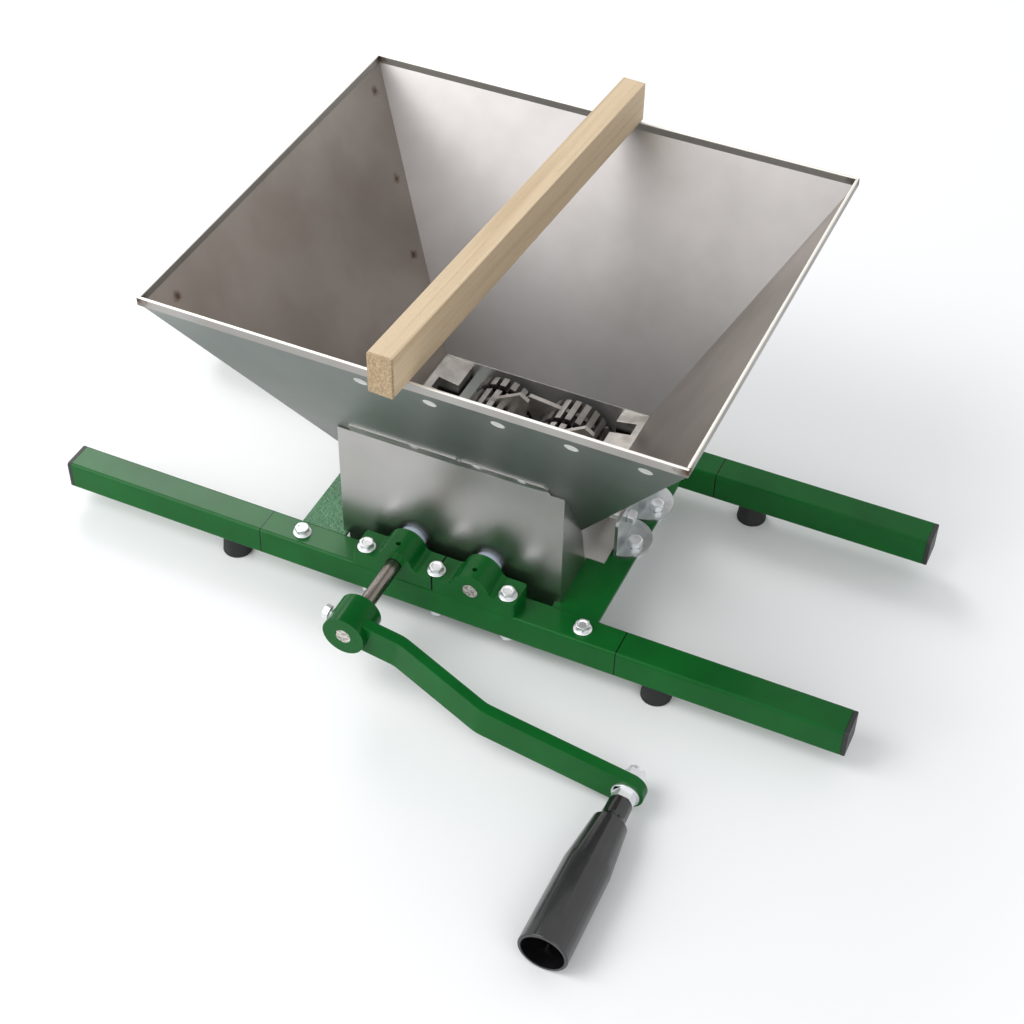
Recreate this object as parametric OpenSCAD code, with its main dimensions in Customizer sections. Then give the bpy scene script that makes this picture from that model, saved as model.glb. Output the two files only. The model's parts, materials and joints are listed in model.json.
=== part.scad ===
// Hand-cranked apple scratter: a hopper over two toothed rotors, on a two-rail frame.
// X runs along the rails to the right, Y to the back, Z up.
// The origin is on the floor, under the middle of the whole machine with its crank.

/* [Frame] */
// Side of the square rail tube
tube = 25; // [20:1:30]
// Wall of the rail tube
tube_wall = 1.5; // [1:0.1:2]
// Outer corner radius of the rail tube
tube_corner = 2.5; // [2.2:0.1:3]
// Distance between the rails, centre to centre
rail_spacing = 209; // [200:1:225]
// Length of each centre rail
rail_len = 296; // [285:1:310]
// Length of each extension arm
arm_len = 172.5; // [140:0.5:220]
// Length of the inner sleeve in the centre rail
sleeve_in = 42; // [40:1:45]
// Length of the inner sleeve in the arm
sleeve_out = 20; // [15:0.5:22]
// Wall of the inner sleeve
sleeve_wall = 2; // [1.5:0.1:2.5]
// Clearance round the inner sleeve
sleeve_gap = 0.1; // [0.05:0.01:0.2]
// Distance of each clamp bolt from the joint of rail and arm
clamp_inset = 31; // [28:1:33]
// Length of the head of an end cap
cap_head = 3.5; // [3:0.1:5]
// Length of the plug of an end cap
cap_plug = 14; // [10:0.5:20]
// Height of a rubber foot
foot_h = 18.2; // [16:0.1:24]
// Diameter of a rubber foot at the floor
foot_d = 24; // [20:0.5:28]
// Diameter of a rubber foot at the rail
foot_top_d = 20; // [18:0.5:22]
// Distance of a foot from the joint of rail and arm
foot_inset = 30; // [26:1:60]
// Thickness of a cross plate
plate_t = 3; // [2:0.1:4]
// Width of a cross plate
plate_w = 37; // [36:0.5:44]
// Part of a cross plate that lies inside the chamber's wall
plate_lip = 2; // [1.5:0.1:3]
// Depth of a cross plate's top below the rail's top
plate_drop = 2; // [1:0.1:4]

/* [Bearing blocks] */
// Length of one bearing block along the rail
block_len = 67; // [66:0.5:72]
// Thickness of a block's flange
block_flange = 13; // [12:0.5:15]
// Radius of a block's boss
boss_r = 15; // [14:0.5:16]
// Radius of the hollow between boss and flange
boss_fillet = 6; // [4:0.5:6]
// Radius of a block's corners
block_corner = 2.5; // [1:0.5:4]
// Diameter of the oil hole
oil_hole_d = 4; // [3:0.5:5]
// Distance of the oil hole from the block's outer face
oil_hole_inset = 8.6; // [7:0.1:14]
// Distance of the outer bolts from the middle of the machine
block_bolt_x = 58.5; // [57.5:0.5:60]
// Distance of the bolts from the middle of the rail, outwards
block_bolt_shift = 4; // [2:0.5:5]
// Gap between the two blocks on a rail
block_gap = 0.6; // [0.4:0.1:1]

/* [Shafts and gears] */
// Diameter of both shafts
shaft_d = 12; // [10:0.5:13]
// Depth of the flat on the drive shaft's end
shaft_flat = 0.6; // [0.4:0.1:1]
// Wall of the bush in the block
bush_wall = 1.6; // [1:0.1:2]
// Radius of the bush's collar
collar_r = 10.5; // [9.5:0.5:11.5]
// Length of the front bush's collar
front_collar = 10; // [9:0.5:10.5]
// Length of the back bush's collar
back_collar = 6; // [5:0.5:7]
// Thickness of the block's lip in front of the bush
bush_recess = 1.5; // [1:0.1:2]
// Radial gap between a shaft and the block's lip
block_lip_gap = 0.5; // [0.3:0.1:0.8]
// Radial running clearance of the shafts
run_gap = 0.06; // [0.02:0.01:0.1]
// Radial clearance of what is fixed on a shaft
fit_gap = 0.03; // [0.01:0.01:0.1]
// Size of the gear teeth, as the pitch diameter over the number of teeth
gear_module = 3; // [2.9:0.05:3.1]
// Number of teeth of each gear
gear_teeth = 21; // [21]
// Width of the gear teeth
gear_w = 19; // [14:0.5:20]
// Radius of the gear's hub
gear_hub_r = 14; // [12:0.5:16]
// Space taken off each side of a gear tooth
gear_backlash = 0.12; // [0.08:0.01:0.2]
// Gap between a gear and the collar in front of it
gear_gap = 0.4; // [0.3:0.1:0.6]
// Diameter of the pins through gears and rotors
pin_d = 4; // [3:0.5:4]

/* [Rotors] */
// Number of lugs round a rotor
lugs = 20; // [16:1:22]
// Radius over the lugs
lug_r = 28; // [26:0.5:29]
// Height of a lug
lug_h = 5; // [3:0.5:6]
// Radius of the rotor's core
core_r = 11; // [10:0.5:11.5]
// Radius over the paddle tips
paddle_r = 48; // [44:0.5:48.5]
// Radius that a paddle widens to at the rotor
paddle_hub_r = 25; // [23:0.5:26]
// Width of a paddle at its tip
paddle_tip = 9; // [6:0.5:12]
// Thickness of a paddle
paddle_t = 4; // [3:0.5:4.5]
// Distance from paddle to paddle along a rotor
paddle_pitch = 30; // [30]
// Width of the slot that the other rotor's paddle runs in
slot_w = 6; // [5.5:0.1:6.5]
// Number of paddles on a rotor
paddles = 4; // [4]
// Distance of the drive rotor's last paddle from the chamber's back
paddle_inset = 33.3; // [32.5:0.1:34]
// Angle of the drive rotor's last paddle over the horizontal
drive_paddle_angle = 55.5; // [0:0.5:180]
// Angle of the driven rotor's last paddle over the horizontal
driven_paddle_angle = 147; // [0:0.5:180]
// Angle from one paddle to the next
paddle_step = 90; // [0:5:90]
// End gap between a rotor and what stands beside it
rotor_gap = 1; // [0.5:0.1:1.2]

/* [Crushing chamber] */
// Inner width of the chamber
chamber_w = 178; // [174:0.5:180]
// Inner depth of the chamber
chamber_d = 140.3; // [138:0.1:142]
// Gap between the chamber's back wall and the rail
rail_clear = 0.2; // [0.1:0.1:0.5]
// Height of the throat over the rail's top
throat_h = 42.3; // [40:0.1:46]
// Thickness of the stainless sheet
sheet = 1; // [0.8:0.1:1.2]
// Width of the side walls' foot
foot_flange = 15; // [12:0.5:16]
// Distance of the foot's ends from the chamber's ends
foot_setback = 15; // [12:0.5:25]
// Depth of the end walls and the gear cover below the rail's top
wall_skirt = 12; // [8:0.5:14]
// Distance of the cover's inner face from the chamber's front
cover_depth = 35.5; // [33.5:0.1:36]
// Width of the cover's lip on the hopper
cover_lip = 14; // [4:0.5:18]
// Distance of the lip's ends from the cover's sides
cover_lip_inset = 11; // [5:0.5:20]
// Cut across each end of the cover's lip
cover_lip_cut = 3; // [1:0.5:3.5]
// Radius of the notch in the cover's lip
cover_notch_r = 2.2; // [1.5:0.1:3]
// Place of the notch, to the right of the middle
cover_notch_x = 11; // [5:0.5:20]
// Radius of the cover's holes
cover_hole_r = 13.5; // [12.5:0.5:14.5]
// Depth of the cover's cheek at its foot
cheek_d = 47; // [44:0.5:49]
// Distance that the cheek's back edge leans forward at the throat
cheek_lean = 9; // [6:0.5:10]

/* [Combs] */
// Distance across from a rotor's lugs to the comb's teeth
comb_gap = 6; // [5.5:0.5:8.5]
// Thickness of a comb tooth
comb_t = 12; // [10:0.5:14]
// Fall of a comb tooth towards the rotor
comb_fall = 4.5; // [3:0.5:6]
// Width of the slots between the teeth
comb_slot = 14; // [12:0.5:16]
// Thickness of a comb's spine
comb_spine = 6; // [5:0.5:7]
// Height of a comb's spine
comb_h = 36; // [32:0.5:38]
// Depth of a comb's top below the throat
comb_drop = 0.8; // [0.8:0.1:2]
// Radius of a bracket's round ear
ear_r = 22; // [20:0.5:22]
// Thickness of a bracket
ear_t = 2.5; // [2:0.1:3]
// Height of a bracket's leaf
leaf_h = 38; // [36:0.5:42]
// Corner radius of a bracket's leaf
leaf_corner = 8; // [5:0.5:10]
// Gap between a bracket's leaf and the chamber's wall
leaf_gap = 18; // [17:0.5:19]
// Distance between the two brackets on a side
ear_pitch = 44.5; // [44.5:0.5:52]
// Place of the middle of the right brackets from the rails' middle, to the back
ear_mid = 19.8; // [15:0.1:25]
// Distance that the left brackets lie further forward
ear_shift = 10; // [0:0.5:12]
// Distance of a bracket's bolt from its leaf
ear_bolt_out = 11; // [10:0.5:13]
// Distance that a bracket's bolt lies forward of its middle
ear_bolt_shift = 4.5; // [0:0.5:6]
// Diameter of the spacers behind the combs
spacer_d = 12; // [10:0.5:14]

/* [Hopper] */
// Width of the hopper's mouth
mouth_w = 396; // [340:1:420]
// Depth of the hopper's mouth
mouth_d = 348; // [330:1:360]
// Height of the hopper over the chamber
hopper_h = 191.5; // [160:0.5:220]
// Height of the upright rim
rim_h = 6; // [5:0.5:9]
// Thickness of the folded rim
rim_t = 2.6; // [2.6:0.1:3]
// Width of the corner flaps
flap_w = 16; // [12:0.5:22]

/* [Crank] */
// Distance of the hub's face from the front bearing blocks
crank_reach = 79.6; // [72:0.1:90]
// Radius of the crank's hub
hub_r = 16.5; // [15:0.5:18]
// Length of the crank's hub
hub_len = 28; // [25:0.5:32]
// Radius of the crank, from shaft to grip
crank_r = 231.5; // [200:0.5:240]
// Height of the crank's flat bar
bar_h = 26; // [22:0.5:28]
// Thickness of the crank's flat bar
bar_t = 9; // [8:0.5:10]
// Distance of the bar's face behind the hub's face
bar_inset = 5.5; // [4:0.5:8]
// Distance that the bar steps forward
bar_joggle = 21.5; // [10:0.5:30]
// Distance from the shaft to the first bend
bend_start = 41; // [36:0.5:60]
// Distance from the shaft to the second bend
bend_end = 117; // [100:0.5:140]
// Bend radius at the middle of the bar
bend_r = 30; // [20:1:40]
// Gap between the grip and the floor
grip_floor_gap = 0.4; // [0.3:0.1:2]

/* [Grip] */
// Radius of the grip at its open end
grip_r = 18; // [17:0.5:18.5]
// Radius of the grip where its cone ends
grip_mid_r = 17.3; // [16:0.1:18]
// Radius of the grip's shoulder
grip_shoulder_r = 13; // [12:0.5:14]
// Radius of the grip's neck
grip_neck_r = 9.3; // [8.8:0.1:10]
// Length of the grip
grip_len = 133; // [125:1:150]
// Length of the grip's neck
grip_neck = 16; // [12:0.5:20]
// Length of the grip's shoulder
grip_shoulder = 4.5; // [3:0.5:6]
// Length of the grip's cone
grip_cone = 40; // [30:0.5:50]
// Radius of the grip's rounded end
grip_round = 1; // [0.5:0.1:1.1]
// Wall of the grip
grip_wall = 2.4; // [2.2:0.1:3]
// Depth of the grip's hollow end
grip_hollow = 68; // [60:1:70]
// Number of ribs in the grip
grip_ribs = 8; // [4:1:10]
// Thickness of a rib in the grip
grip_rib_t = 1.8; // [1.2:0.1:2.4]
// Depth of the ribs below the grip's open end
grip_rib_inset = 14; // [8:0.5:25]
// Diameter of the grip's bolt
grip_bolt_d = 10; // [10]
// Distance across the flats of the grip's nuts
grip_af = 15; // [15:0.5:16]

/* [Pusher] */
// Length of the wooden pusher past each side of the mouth
pusher_rest = 14; // [12:1:36]
// Width of the wooden pusher
pusher_w = 18.5; // [16:0.5:24]
// Height of the wooden pusher
pusher_h = 32; // [26:0.5:40]
// Radius of the pusher's long edges
pusher_edge = 0.8; // [0.5:0.1:2]
// Distance of the pusher's middle from the machine's middle, to the right
pusher_x = 7; // [0:0.5:40]
// Distance of the pusher's middle from the rails' middle, to the back
pusher_y = 12.4; // [8:0.1:16]
// Angle that the pusher lies turned to the right
pusher_turn = 3.3; // [0:0.1:4]
// Gap between the pusher and the rim
pusher_gap = 0.2; // [0.1:0.1:0.3]

/* [Fasteners] */
// Diameter of the frame's bolts
bolt_d = 6; // [6]
// Distance across a hex head's flats
hex_af = 10; // [10]
// Height of a hex head
hex_h = 5.5; // [5:0.1:6]
// Radius of a head's flange
hex_flange_r = 7.1; // [6.8:0.1:7.5]
// Height of a head's flange
hex_flange_h = 1.3; // [1:0.1:2]
// Height of a nut
nut_h = 6; // [5:0.1:6.5]
// Distance that a bolt stands out of its nut
bolt_out = 2; // [1:0.5:3]
// Radial clearance of a bolt in its hole
bolt_gap = 0.3; // [0.2:0.05:0.4]

/* [Hidden] */
$fn = 64;

// Overrun of every cut
over = 1;
// Size of the half spaces that trim the sheets
half_space = 4 * mouth_w;
// Clearance between sheets that lie against each other
lap = 0.05;

// Colours of the finishes
green = [0.06, 0.42, 0.16];
stainless = [0.72, 0.72, 0.70];
zinc = [0.80, 0.82, 0.85];
steel = [0.45, 0.43, 0.42];
cast = [0.66, 0.66, 0.67];
nylon = [0.86, 0.90, 0.96];
black = [0.10, 0.10, 0.11];
rubber = [0.14, 0.14, 0.14];
beech = [0.85, 0.72, 0.54];

// Frame levels and faces
rail_top = foot_h + tube;
half_gap = rail_spacing / 2;
rail_inner = half_gap - tube / 2;
rail_outer = half_gap + tube / 2;
joint_x = rail_len / 2;
clamp_x = joint_x - clamp_inset;
foot_x = joint_x + foot_inset;
plate_top = rail_top - plate_drop;
sleeve = tube - 2 * tube_wall - 2 * sleeve_gap;
sleeve_top = foot_h + tube / 2 + sleeve / 2;
inner_corner = tube_corner - tube_wall;

// Foot screw
foot_screw_r = 2.5;
foot_head_r = 5;
foot_head_h = 3.5;
foot_recess_r = 6;
foot_recess = 7;
foot_screw_reach = 7;

// Shafts
shaft_r = shaft_d / 2;
shaft_x = gear_module * gear_teeth / 2;
shaft_z = rail_top + block_flange;
bolt_r = bolt_d / 2;
bolt_hole_r = bolt_r + bolt_gap;
block_bolt_y = half_gap + block_bolt_shift;
pin_r = pin_d / 2;

// Chamber faces
chamber_x = chamber_w / 2;
chamber_back = rail_inner - rail_clear - sheet;
chamber_front = chamber_back - chamber_d;
chamber_mid = (chamber_front + chamber_back) / 2;
throat_z = rail_top + throat_h;
// Share of the sheet that a panel's lower edge reaches below the throat
throat_share = 0.6;
wall_top = throat_z - throat_share * sheet;
plate_in = chamber_x - plate_lip;
plate_out = plate_in + plate_w;
cover_inner = chamber_front - cover_depth;
cover_face = cover_inner - sheet;
cheek_in = chamber_x + sheet + lap;
cheek_out = cheek_in + sheet;

// Rotor places
section_w = paddle_pitch - slot_w;
rotor_back = rail_inner - back_collar - rotor_gap;
rotor_front = chamber_front + 4 * rotor_gap;
core_front = chamber_front + rotor_gap;
drive_paddle_y = chamber_back - paddle_inset;
driven_paddle_y = drive_paddle_y + paddle_pitch / 2;
// Share of the space from lug to lug that a lug fills
lug_share = 0.62;

// Gear places
gear_front = -rail_inner + front_collar + gear_gap;
gear_back = gear_front + gear_w;
gear_hub_end = chamber_front - sheet - rotor_gap;
gear_tip_r = shaft_x + gear_module;
// Depth of a gear's tooth gap below its pitch circle, as a share of the module
root_share = 1.2;
gear_root_r = shaft_x - root_share * gear_module;
pressure_angle = 20;
gear_base_r = shaft_x * cos(pressure_angle);
flank_steps = 4;

// Brackets
leaf_x = chamber_x + sheet + leaf_gap;
leaf_bolt_z = plate_top + 2 * leaf_h / 3;
bracket_bolt_x = leaf_x + ear_bolt_out;
right_ears = [ear_mid - ear_pitch / 2, ear_mid + ear_pitch / 2];
left_ears = [for (y = right_ears) y - ear_shift];

// Hopper levels
mouth_z = throat_z + hopper_h;
slope_z = mouth_z - rim_h;
rise = slope_z - throat_z;
flap_start = 4 * sheet;
flap_stop = 2 * sheet;

// Crank places
hub_face = -rail_outer - crank_reach;
hub_back = hub_face + hub_len;
bar_face = hub_face + bar_inset;
arm_face = bar_face - bar_joggle;
arm_back = arm_face + bar_t;
crank_drop = asin((shaft_z - grip_r - grip_floor_gap) / crank_r);
bar_lean = atan(bar_joggle / (bend_end - bend_start));
bend_tangent = bend_r * tan(bar_lean / 2);
bend_steps = 8;
set_screw_head = 4.5;
set_screw_gap = 1.5;

// Grip fastening
grip_bolt_r = grip_bolt_d / 2;
grip_head_h = 6.4;
grip_head_gap = 0.5;
flange_nut_h = 8;
flange_nut_r = 10.5;
flange_nut_rim = 1.8;
spring_washer_t = 2.4;
spring_washer_r = 9;
spring_washer_slit = 1.5;
lock_nut_h = 7;
lock_nut_crown_h = 3;
lock_nut_crown_r = 6.8;
grip_gap = 0.5;
grip_start = arm_face - flange_nut_h - grip_gap;
grip_end = grip_start - grip_len;
grip_floor = grip_end + grip_hollow;
grip_rib_r = 10;

// The whole machine from front to back, whose middle is the origin
pusher_len = mouth_d + 2 * pusher_rest;
pusher_back = pusher_y + pusher_len / 2 * cos(pusher_turn) + pusher_w / 2 * sin(pusher_turn);
middle_y = (grip_end + pusher_back) / 2;

// Moves a piece from the frame between the rails to the part's own frame
module place() {
  translate([0, -middle_y, 0]) children();
}

// Square with round corners, about its centre
module rounded_square(side, r) {
  square([side, side - 2 * r], center = true);
  square([side - 2 * r, side], center = true);
  for (x = [-1, 1], y = [-1, 1]) {
    translate([x * (side / 2 - r), y * (side / 2 - r)]) circle(r);
  }
}

// Rectangle with its two upper corners round, from its lower middle
module round_topped(w, h, r) {
  translate([-w / 2, 0]) square([w, h - r]);
  translate([-w / 2 + r, 0]) square([w - 2 * r, h]);
  for (x = [-1, 1]) translate([x * (w / 2 - r), h - r]) circle(r);
}

// Section of the rail tube
module tube_section() {
  difference() {
    rounded_square(tube, tube_corner);
    rounded_square(tube - 2 * tube_wall, inner_corner);
  }
}

// Extrudes a section drawn across a rail along X, from x0 over the given length
module along_rail(x0, length) {
  translate([x0, 0, foot_h + tube / 2]) rotate([90, 0, 90]) linear_extrude(length) children();
}

// Extrudes a shape drawn in X and Z along Y, from y0 to y1
module along_y(y0, y1) {
  translate([0, y1, 0]) rotate([90, 0, 0]) linear_extrude(y1 - y0) children();
}

// Round bar along Y
module round_y(x, z, r, y0, y1) {
  translate([x, 0, z]) along_y(y0, y1) circle(r);
}

// Upright hex prism or hex nut blank
module hex_bar(af, h) {
  cylinder(r = af / 2 / cos(30), h = h, $fn = 6);
}

// Hex bolt with a flange, its seat at the origin and its shank down
module flange_bolt(reach) {
  translate([0, 0, -reach]) cylinder(r = bolt_r, h = reach + hex_flange_h);
  cylinder(r = hex_flange_r, h = hex_flange_h);
  hex_bar(hex_af, hex_h);
}

// Plain hex bolt, its seat at the origin and its shank down
module hex_bolt(reach, head) {
  translate([0, 0, -reach]) cylinder(r = bolt_r, h = reach + head / 2);
  hex_bar(hex_af, head);
}

// Hex nut, from the origin up
module hex_nut(h) {
  difference() {
    hex_bar(hex_af, h);
    translate([0, 0, -over]) cylinder(r = bolt_r + fit_gap, h = h + 2 * over);
  }
}

// One centre rail, side -1 in front and 1 at the back
module centre_rail(side) {
  color(green) place() difference() {
    translate([0, side * half_gap, 0]) along_rail(-joint_x, rail_len) tube_section();
    for (x = [-block_bolt_x, 0, block_bolt_x]) {
      translate([x, side * block_bolt_y, foot_h - over]) cylinder(r = bolt_hole_r, h = tube + 2 * over);
    }
    for (x = [-clamp_x, clamp_x]) {
      translate([x, side * half_gap, foot_h + tube / 2]) cylinder(r = bolt_hole_r, h = tube);
    }
  }
}

module front_rail() {
  centre_rail(-1);
}

module rear_rail() {
  centre_rail(1);
}

// One cross plate, side -1 at the left and 1 at the right
module cross_plate(side, ears) {
  x0 = side > 0 ? plate_in : -plate_out;
  color(green) place() difference() {
    translate([x0, -rail_inner, plate_top - plate_t]) cube([plate_w, 2 * rail_inner, plate_t]);
    for (y = ears) {
      translate([side * bracket_bolt_x, y - ear_bolt_shift, plate_top - plate_t - over])
        cylinder(r = bolt_hole_r, h = plate_t + 2 * over);
    }
  }
}

module left_cross_plate() {
  cross_plate(-1, left_ears);
}

module right_cross_plate() {
  cross_plate(1, right_ears);
}

// One extension arm of the frame, with the hole of its foot screw
module extension_arm(end, side) {
  color(green) place() difference() {
    translate([0, side * half_gap, 0])
      along_rail(end > 0 ? joint_x : -joint_x - arm_len, arm_len) tube_section();
    translate([end * foot_x, side * half_gap, foot_h - over])
      cylinder(r = foot_screw_r + fit_gap, h = tube_wall + 2 * over);
  }
}

module front_left_arm() {
  extension_arm(-1, -1);
}

module front_right_arm() {
  extension_arm(1, -1);
}

module rear_left_arm() {
  extension_arm(-1, 1);
}

module rear_right_arm() {
  extension_arm(1, 1);
}

// Inner sleeves that join arms and rails
module arm_sleeves() {
  sleeve_len = sleeve_in + sleeve_out;
  color(steel) place() for (end = [-1, 1], side = [-1, 1]) difference() {
    translate([0, side * half_gap, 0])
      along_rail(end > 0 ? joint_x - sleeve_in : -joint_x - sleeve_out, sleeve_len) difference() {
        rounded_square(sleeve, inner_corner);
        square(sleeve - 2 * sleeve_wall, center = true);
      }
    translate([end * clamp_x, side * half_gap, foot_h + tube / 2]) cylinder(r = bolt_hole_r, h = tube);
  }
}

// Plastic end caps, each a head and a hollow plug
module arm_end_caps() {
  color(black) place() for (end = [-1, 1], side = [-1, 1]) translate([0, side * half_gap, 0]) {
    arm_end = joint_x + arm_len;
    along_rail(end > 0 ? arm_end : -arm_end - cap_head, cap_head) rounded_square(tube, tube_corner);
    along_rail(end > 0 ? arm_end - cap_plug : -arm_end - over, cap_plug + over) difference() {
      rounded_square(sleeve, inner_corner);
      square(sleeve - 2 * sleeve_wall, center = true);
    }
  }
}

// Calls its children at each of the four feet
module at_feet() {
  for (end = [-1, 1], side = [-1, 1]) translate([end * foot_x, side * half_gap, 0]) children();
}

module rubber_feet() {
  color(rubber) place() at_feet() difference() {
    cylinder(r1 = foot_d / 2, r2 = foot_top_d / 2, h = foot_h);
    translate([0, 0, -over]) cylinder(r = foot_recess_r, h = foot_recess + over);
    cylinder(r = foot_screw_r + fit_gap, h = foot_h + over);
  }
}

module foot_screws() {
  color(zinc) place() at_feet() {
    translate([0, 0, foot_recess - foot_head_h]) cylinder(r = foot_head_r, h = foot_head_h);
    translate([0, 0, foot_recess - foot_head_h / 2])
      cylinder(r = foot_screw_r, h = foot_h + foot_screw_reach - foot_recess + foot_head_h / 2);
  }
}

// Calls its children at each of the four clamp bolts, on the rail's top
module at_clamps() {
  for (end = [-1, 1], side = [-1, 1]) translate([end * clamp_x, side * half_gap, rail_top]) children();
}

module arm_clamp_bolts() {
  color(zinc) place() at_clamps() flange_bolt(rail_top - sleeve_top + sleeve_wall + nut_h + bolt_out);
}

module arm_clamp_nuts() {
  nut_z = sleeve_top - sleeve_wall - nut_h;
  color(zinc) place() at_clamps() translate([0, 0, nut_z - rail_top]) hex_nut(nut_h);
}

// Hollow between the boss and the flange, on the right of the boss
module boss_hollow() {
  out = sqrt(boss_r * boss_r + 2 * boss_r * boss_fillet);
  meet = boss_r / (boss_r + boss_fillet);
  difference() {
    polygon([[0, 0], [out, 0], [out * meet, boss_fillet * meet]]);
    translate([out, boss_fillet]) circle(boss_fillet);
  }
}

// Front view of the right bearing block, about the middle of the machine and the rail's top
module block_face() {
  translate([block_gap / 2, 0]) square([block_len - block_gap / 2, block_flange]);
  translate([shaft_x, block_flange]) {
    intersection() {
      circle(boss_r);
      translate([-boss_r, 0]) square([2 * boss_r, boss_r]);
    }
    boss_hollow();
    mirror([1, 0]) boss_hollow();
  }
}

// Plan of the right bearing block, with its outer corners round
module block_plan() {
  square([block_len - block_corner, tube]);
  translate([0, block_corner]) square([block_len, tube - 2 * block_corner]);
  for (y = [block_corner, tube - block_corner]) {
    translate([block_len - block_corner, y]) circle(block_corner);
  }
}

// The front right bearing block, before it is mirrored to its place
module bearing_block() {
  difference() {
    intersection() {
      translate([0, 0, rail_top]) along_y(-rail_outer, -rail_inner) block_face();
      translate([0, -rail_outer, rail_top]) linear_extrude(block_flange + boss_r) block_plan();
    }
    round_y(shaft_x, shaft_z, shaft_r + block_lip_gap, -rail_outer - over, -rail_inner);
    round_y(shaft_x, shaft_z, shaft_r + run_gap + bush_wall + fit_gap,
      -rail_outer + bush_recess, -rail_inner + over);
    for (x = [0, block_bolt_x]) {
      translate([x, -block_bolt_y, rail_top - over]) cylinder(r = bolt_hole_r, h = block_flange + 2 * over);
    }
    translate([shaft_x, -rail_outer + oil_hole_inset, shaft_z])
      cylinder(r = oil_hole_d / 2, h = boss_r + over);
  }
}

module front_left_block() {
  color(green) place() mirror([1, 0, 0]) bearing_block();
}

module front_right_block() {
  color(green) place() bearing_block();
}

module rear_left_block() {
  color(green) place() mirror([1, 0, 0]) mirror([0, 1, 0]) bearing_block();
}

module rear_right_block() {
  color(green) place() mirror([0, 1, 0]) bearing_block();
}

// Nylon bush at x, side -1 in front and 1 at the back, with a collar of the given length
module bush(x, side, collar) {
  out = rail_outer - bush_recess - lap;
  color(nylon) place() mirror([0, side > 0 ? 1 : 0, 0]) difference() {
    union() {
      round_y(x, shaft_z, shaft_r + run_gap + bush_wall, -out, -rail_inner + collar / 2);
      round_y(x, shaft_z, collar_r, -rail_inner, -rail_inner + collar);
    }
    round_y(x, shaft_z, shaft_r + run_gap, -rail_outer, -rail_inner + collar + over);
  }
}

module front_left_bush() {
  bush(-shaft_x, -1, front_collar);
}

module front_right_bush() {
  bush(shaft_x, -1, front_collar);
}

module rear_left_bush() {
  bush(-shaft_x, 1, back_collar);
}

module rear_right_bush() {
  bush(shaft_x, 1, back_collar);
}

// Calls its children at each bolt of the bearing blocks, at the given height
module at_block_bolts(z) {
  for (side = [-1, 1], x = [-block_bolt_x, 0, block_bolt_x]) {
    translate([x, side * block_bolt_y, z]) children();
  }
}

module block_bolts() {
  color(zinc) place() at_block_bolts(shaft_z) flange_bolt(block_flange + tube + nut_h + bolt_out);
}

module block_nuts() {
  color(zinc) place() at_block_bolts(foot_h - nut_h) difference() {
    union() {
      hex_bar(hex_af, nut_h);
      translate([0, 0, nut_h - hex_flange_h]) cylinder(r = hex_flange_r, h = hex_flange_h);
    }
    translate([0, 0, -over]) cylinder(r = bolt_r + fit_gap, h = nut_h + 2 * over);
  }
}

// Places of the pins along each shaft: one in the gear's hub, two in the rotor's slots
function pin_places(paddle_y) = [
  (gear_back + gear_hub_end) / 2,
  paddle_y - paddle_pitch / 2,
  paddle_y - (paddles - 1.5) * paddle_pitch
];

// Half of the length of the pin at place i
function pin_half(i) = i == 0 ? gear_hub_r : core_r;

// The pins of one shaft, widened by gap
module pins(x, paddle_y, gap) {
  places = pin_places(paddle_y);
  for (i = [0:len(places) - 1]) {
    half = pin_half(i) - lap + (gap > 0 ? over : 0);
    translate([x, places[i], shaft_z - half]) cylinder(r = pin_r + gap, h = 2 * half);
  }
}

module drive_shaft() {
  color(steel) place() difference() {
    round_y(-shaft_x, shaft_z, shaft_r, hub_face, rail_outer - bush_recess);
    pins(-shaft_x, drive_paddle_y, fit_gap);
    in_crank() translate([-shaft_r - over, hub_face - over, -shaft_r])
      cube([over + shaft_flat, hub_len + 2 * over, shaft_d]);
  }
}

module driven_shaft() {
  color(steel) place() difference() {
    round_y(shaft_x, shaft_z, shaft_r, -rail_outer, rail_outer - bush_recess);
    pins(shaft_x, driven_paddle_y, fit_gap);
  }
}

module drive_pins() {
  color(zinc) place() pins(-shaft_x, drive_paddle_y, 0);
}

module driven_pins() {
  color(zinc) place() pins(shaft_x, driven_paddle_y, 0);
}

// Involute of an angle, in degrees
function involute(a) = tan(a) * 180 / PI - a;

// Half of the angle that a tooth spans at radius r
function tooth_half(r) = 90 / gear_teeth + involute(pressure_angle)
  - involute(acos(min(1, gear_base_r / r))) - gear_backlash / shaft_x * 180 / PI;

// Radii of the points up a flank
flank = concat([gear_root_r], [for (i = [0:flank_steps])
  gear_base_r + (gear_tip_r - gear_base_r) * i / flank_steps]);

// Point of tooth k at radius r, on the side given as -1 or 1
function tooth_point(k, r, side) =
  let (a = 360 * k / gear_teeth + side * tooth_half(max(r, gear_base_r))) r * [cos(a), sin(a)];

// Outline of a gear, its first tooth along X
module gear_outline() {
  polygon([for (k = [0:gear_teeth - 1], side = [-1, 1], i = [0:len(flank) - 1])
    tooth_point(k, flank[side < 0 ? i : len(flank) - 1 - i], side)]);
}

// Gear with its hub, on the shaft at x
module gear(x, paddle_y) {
  color(steel) place() difference() {
    union() {
      translate([x, 0, shaft_z]) along_y(gear_front, gear_back) gear_outline();
      round_y(x, shaft_z, gear_hub_r, gear_back - over, gear_hub_end);
    }
    round_y(x, shaft_z, shaft_r + fit_gap, gear_front - over, gear_hub_end + over);
    pins(x, paddle_y, fit_gap);
  }
}

module drive_gear() {
  gear(-shaft_x, drive_paddle_y);
}

module driven_gear() {
  gear(shaft_x, driven_paddle_y);
}

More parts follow.
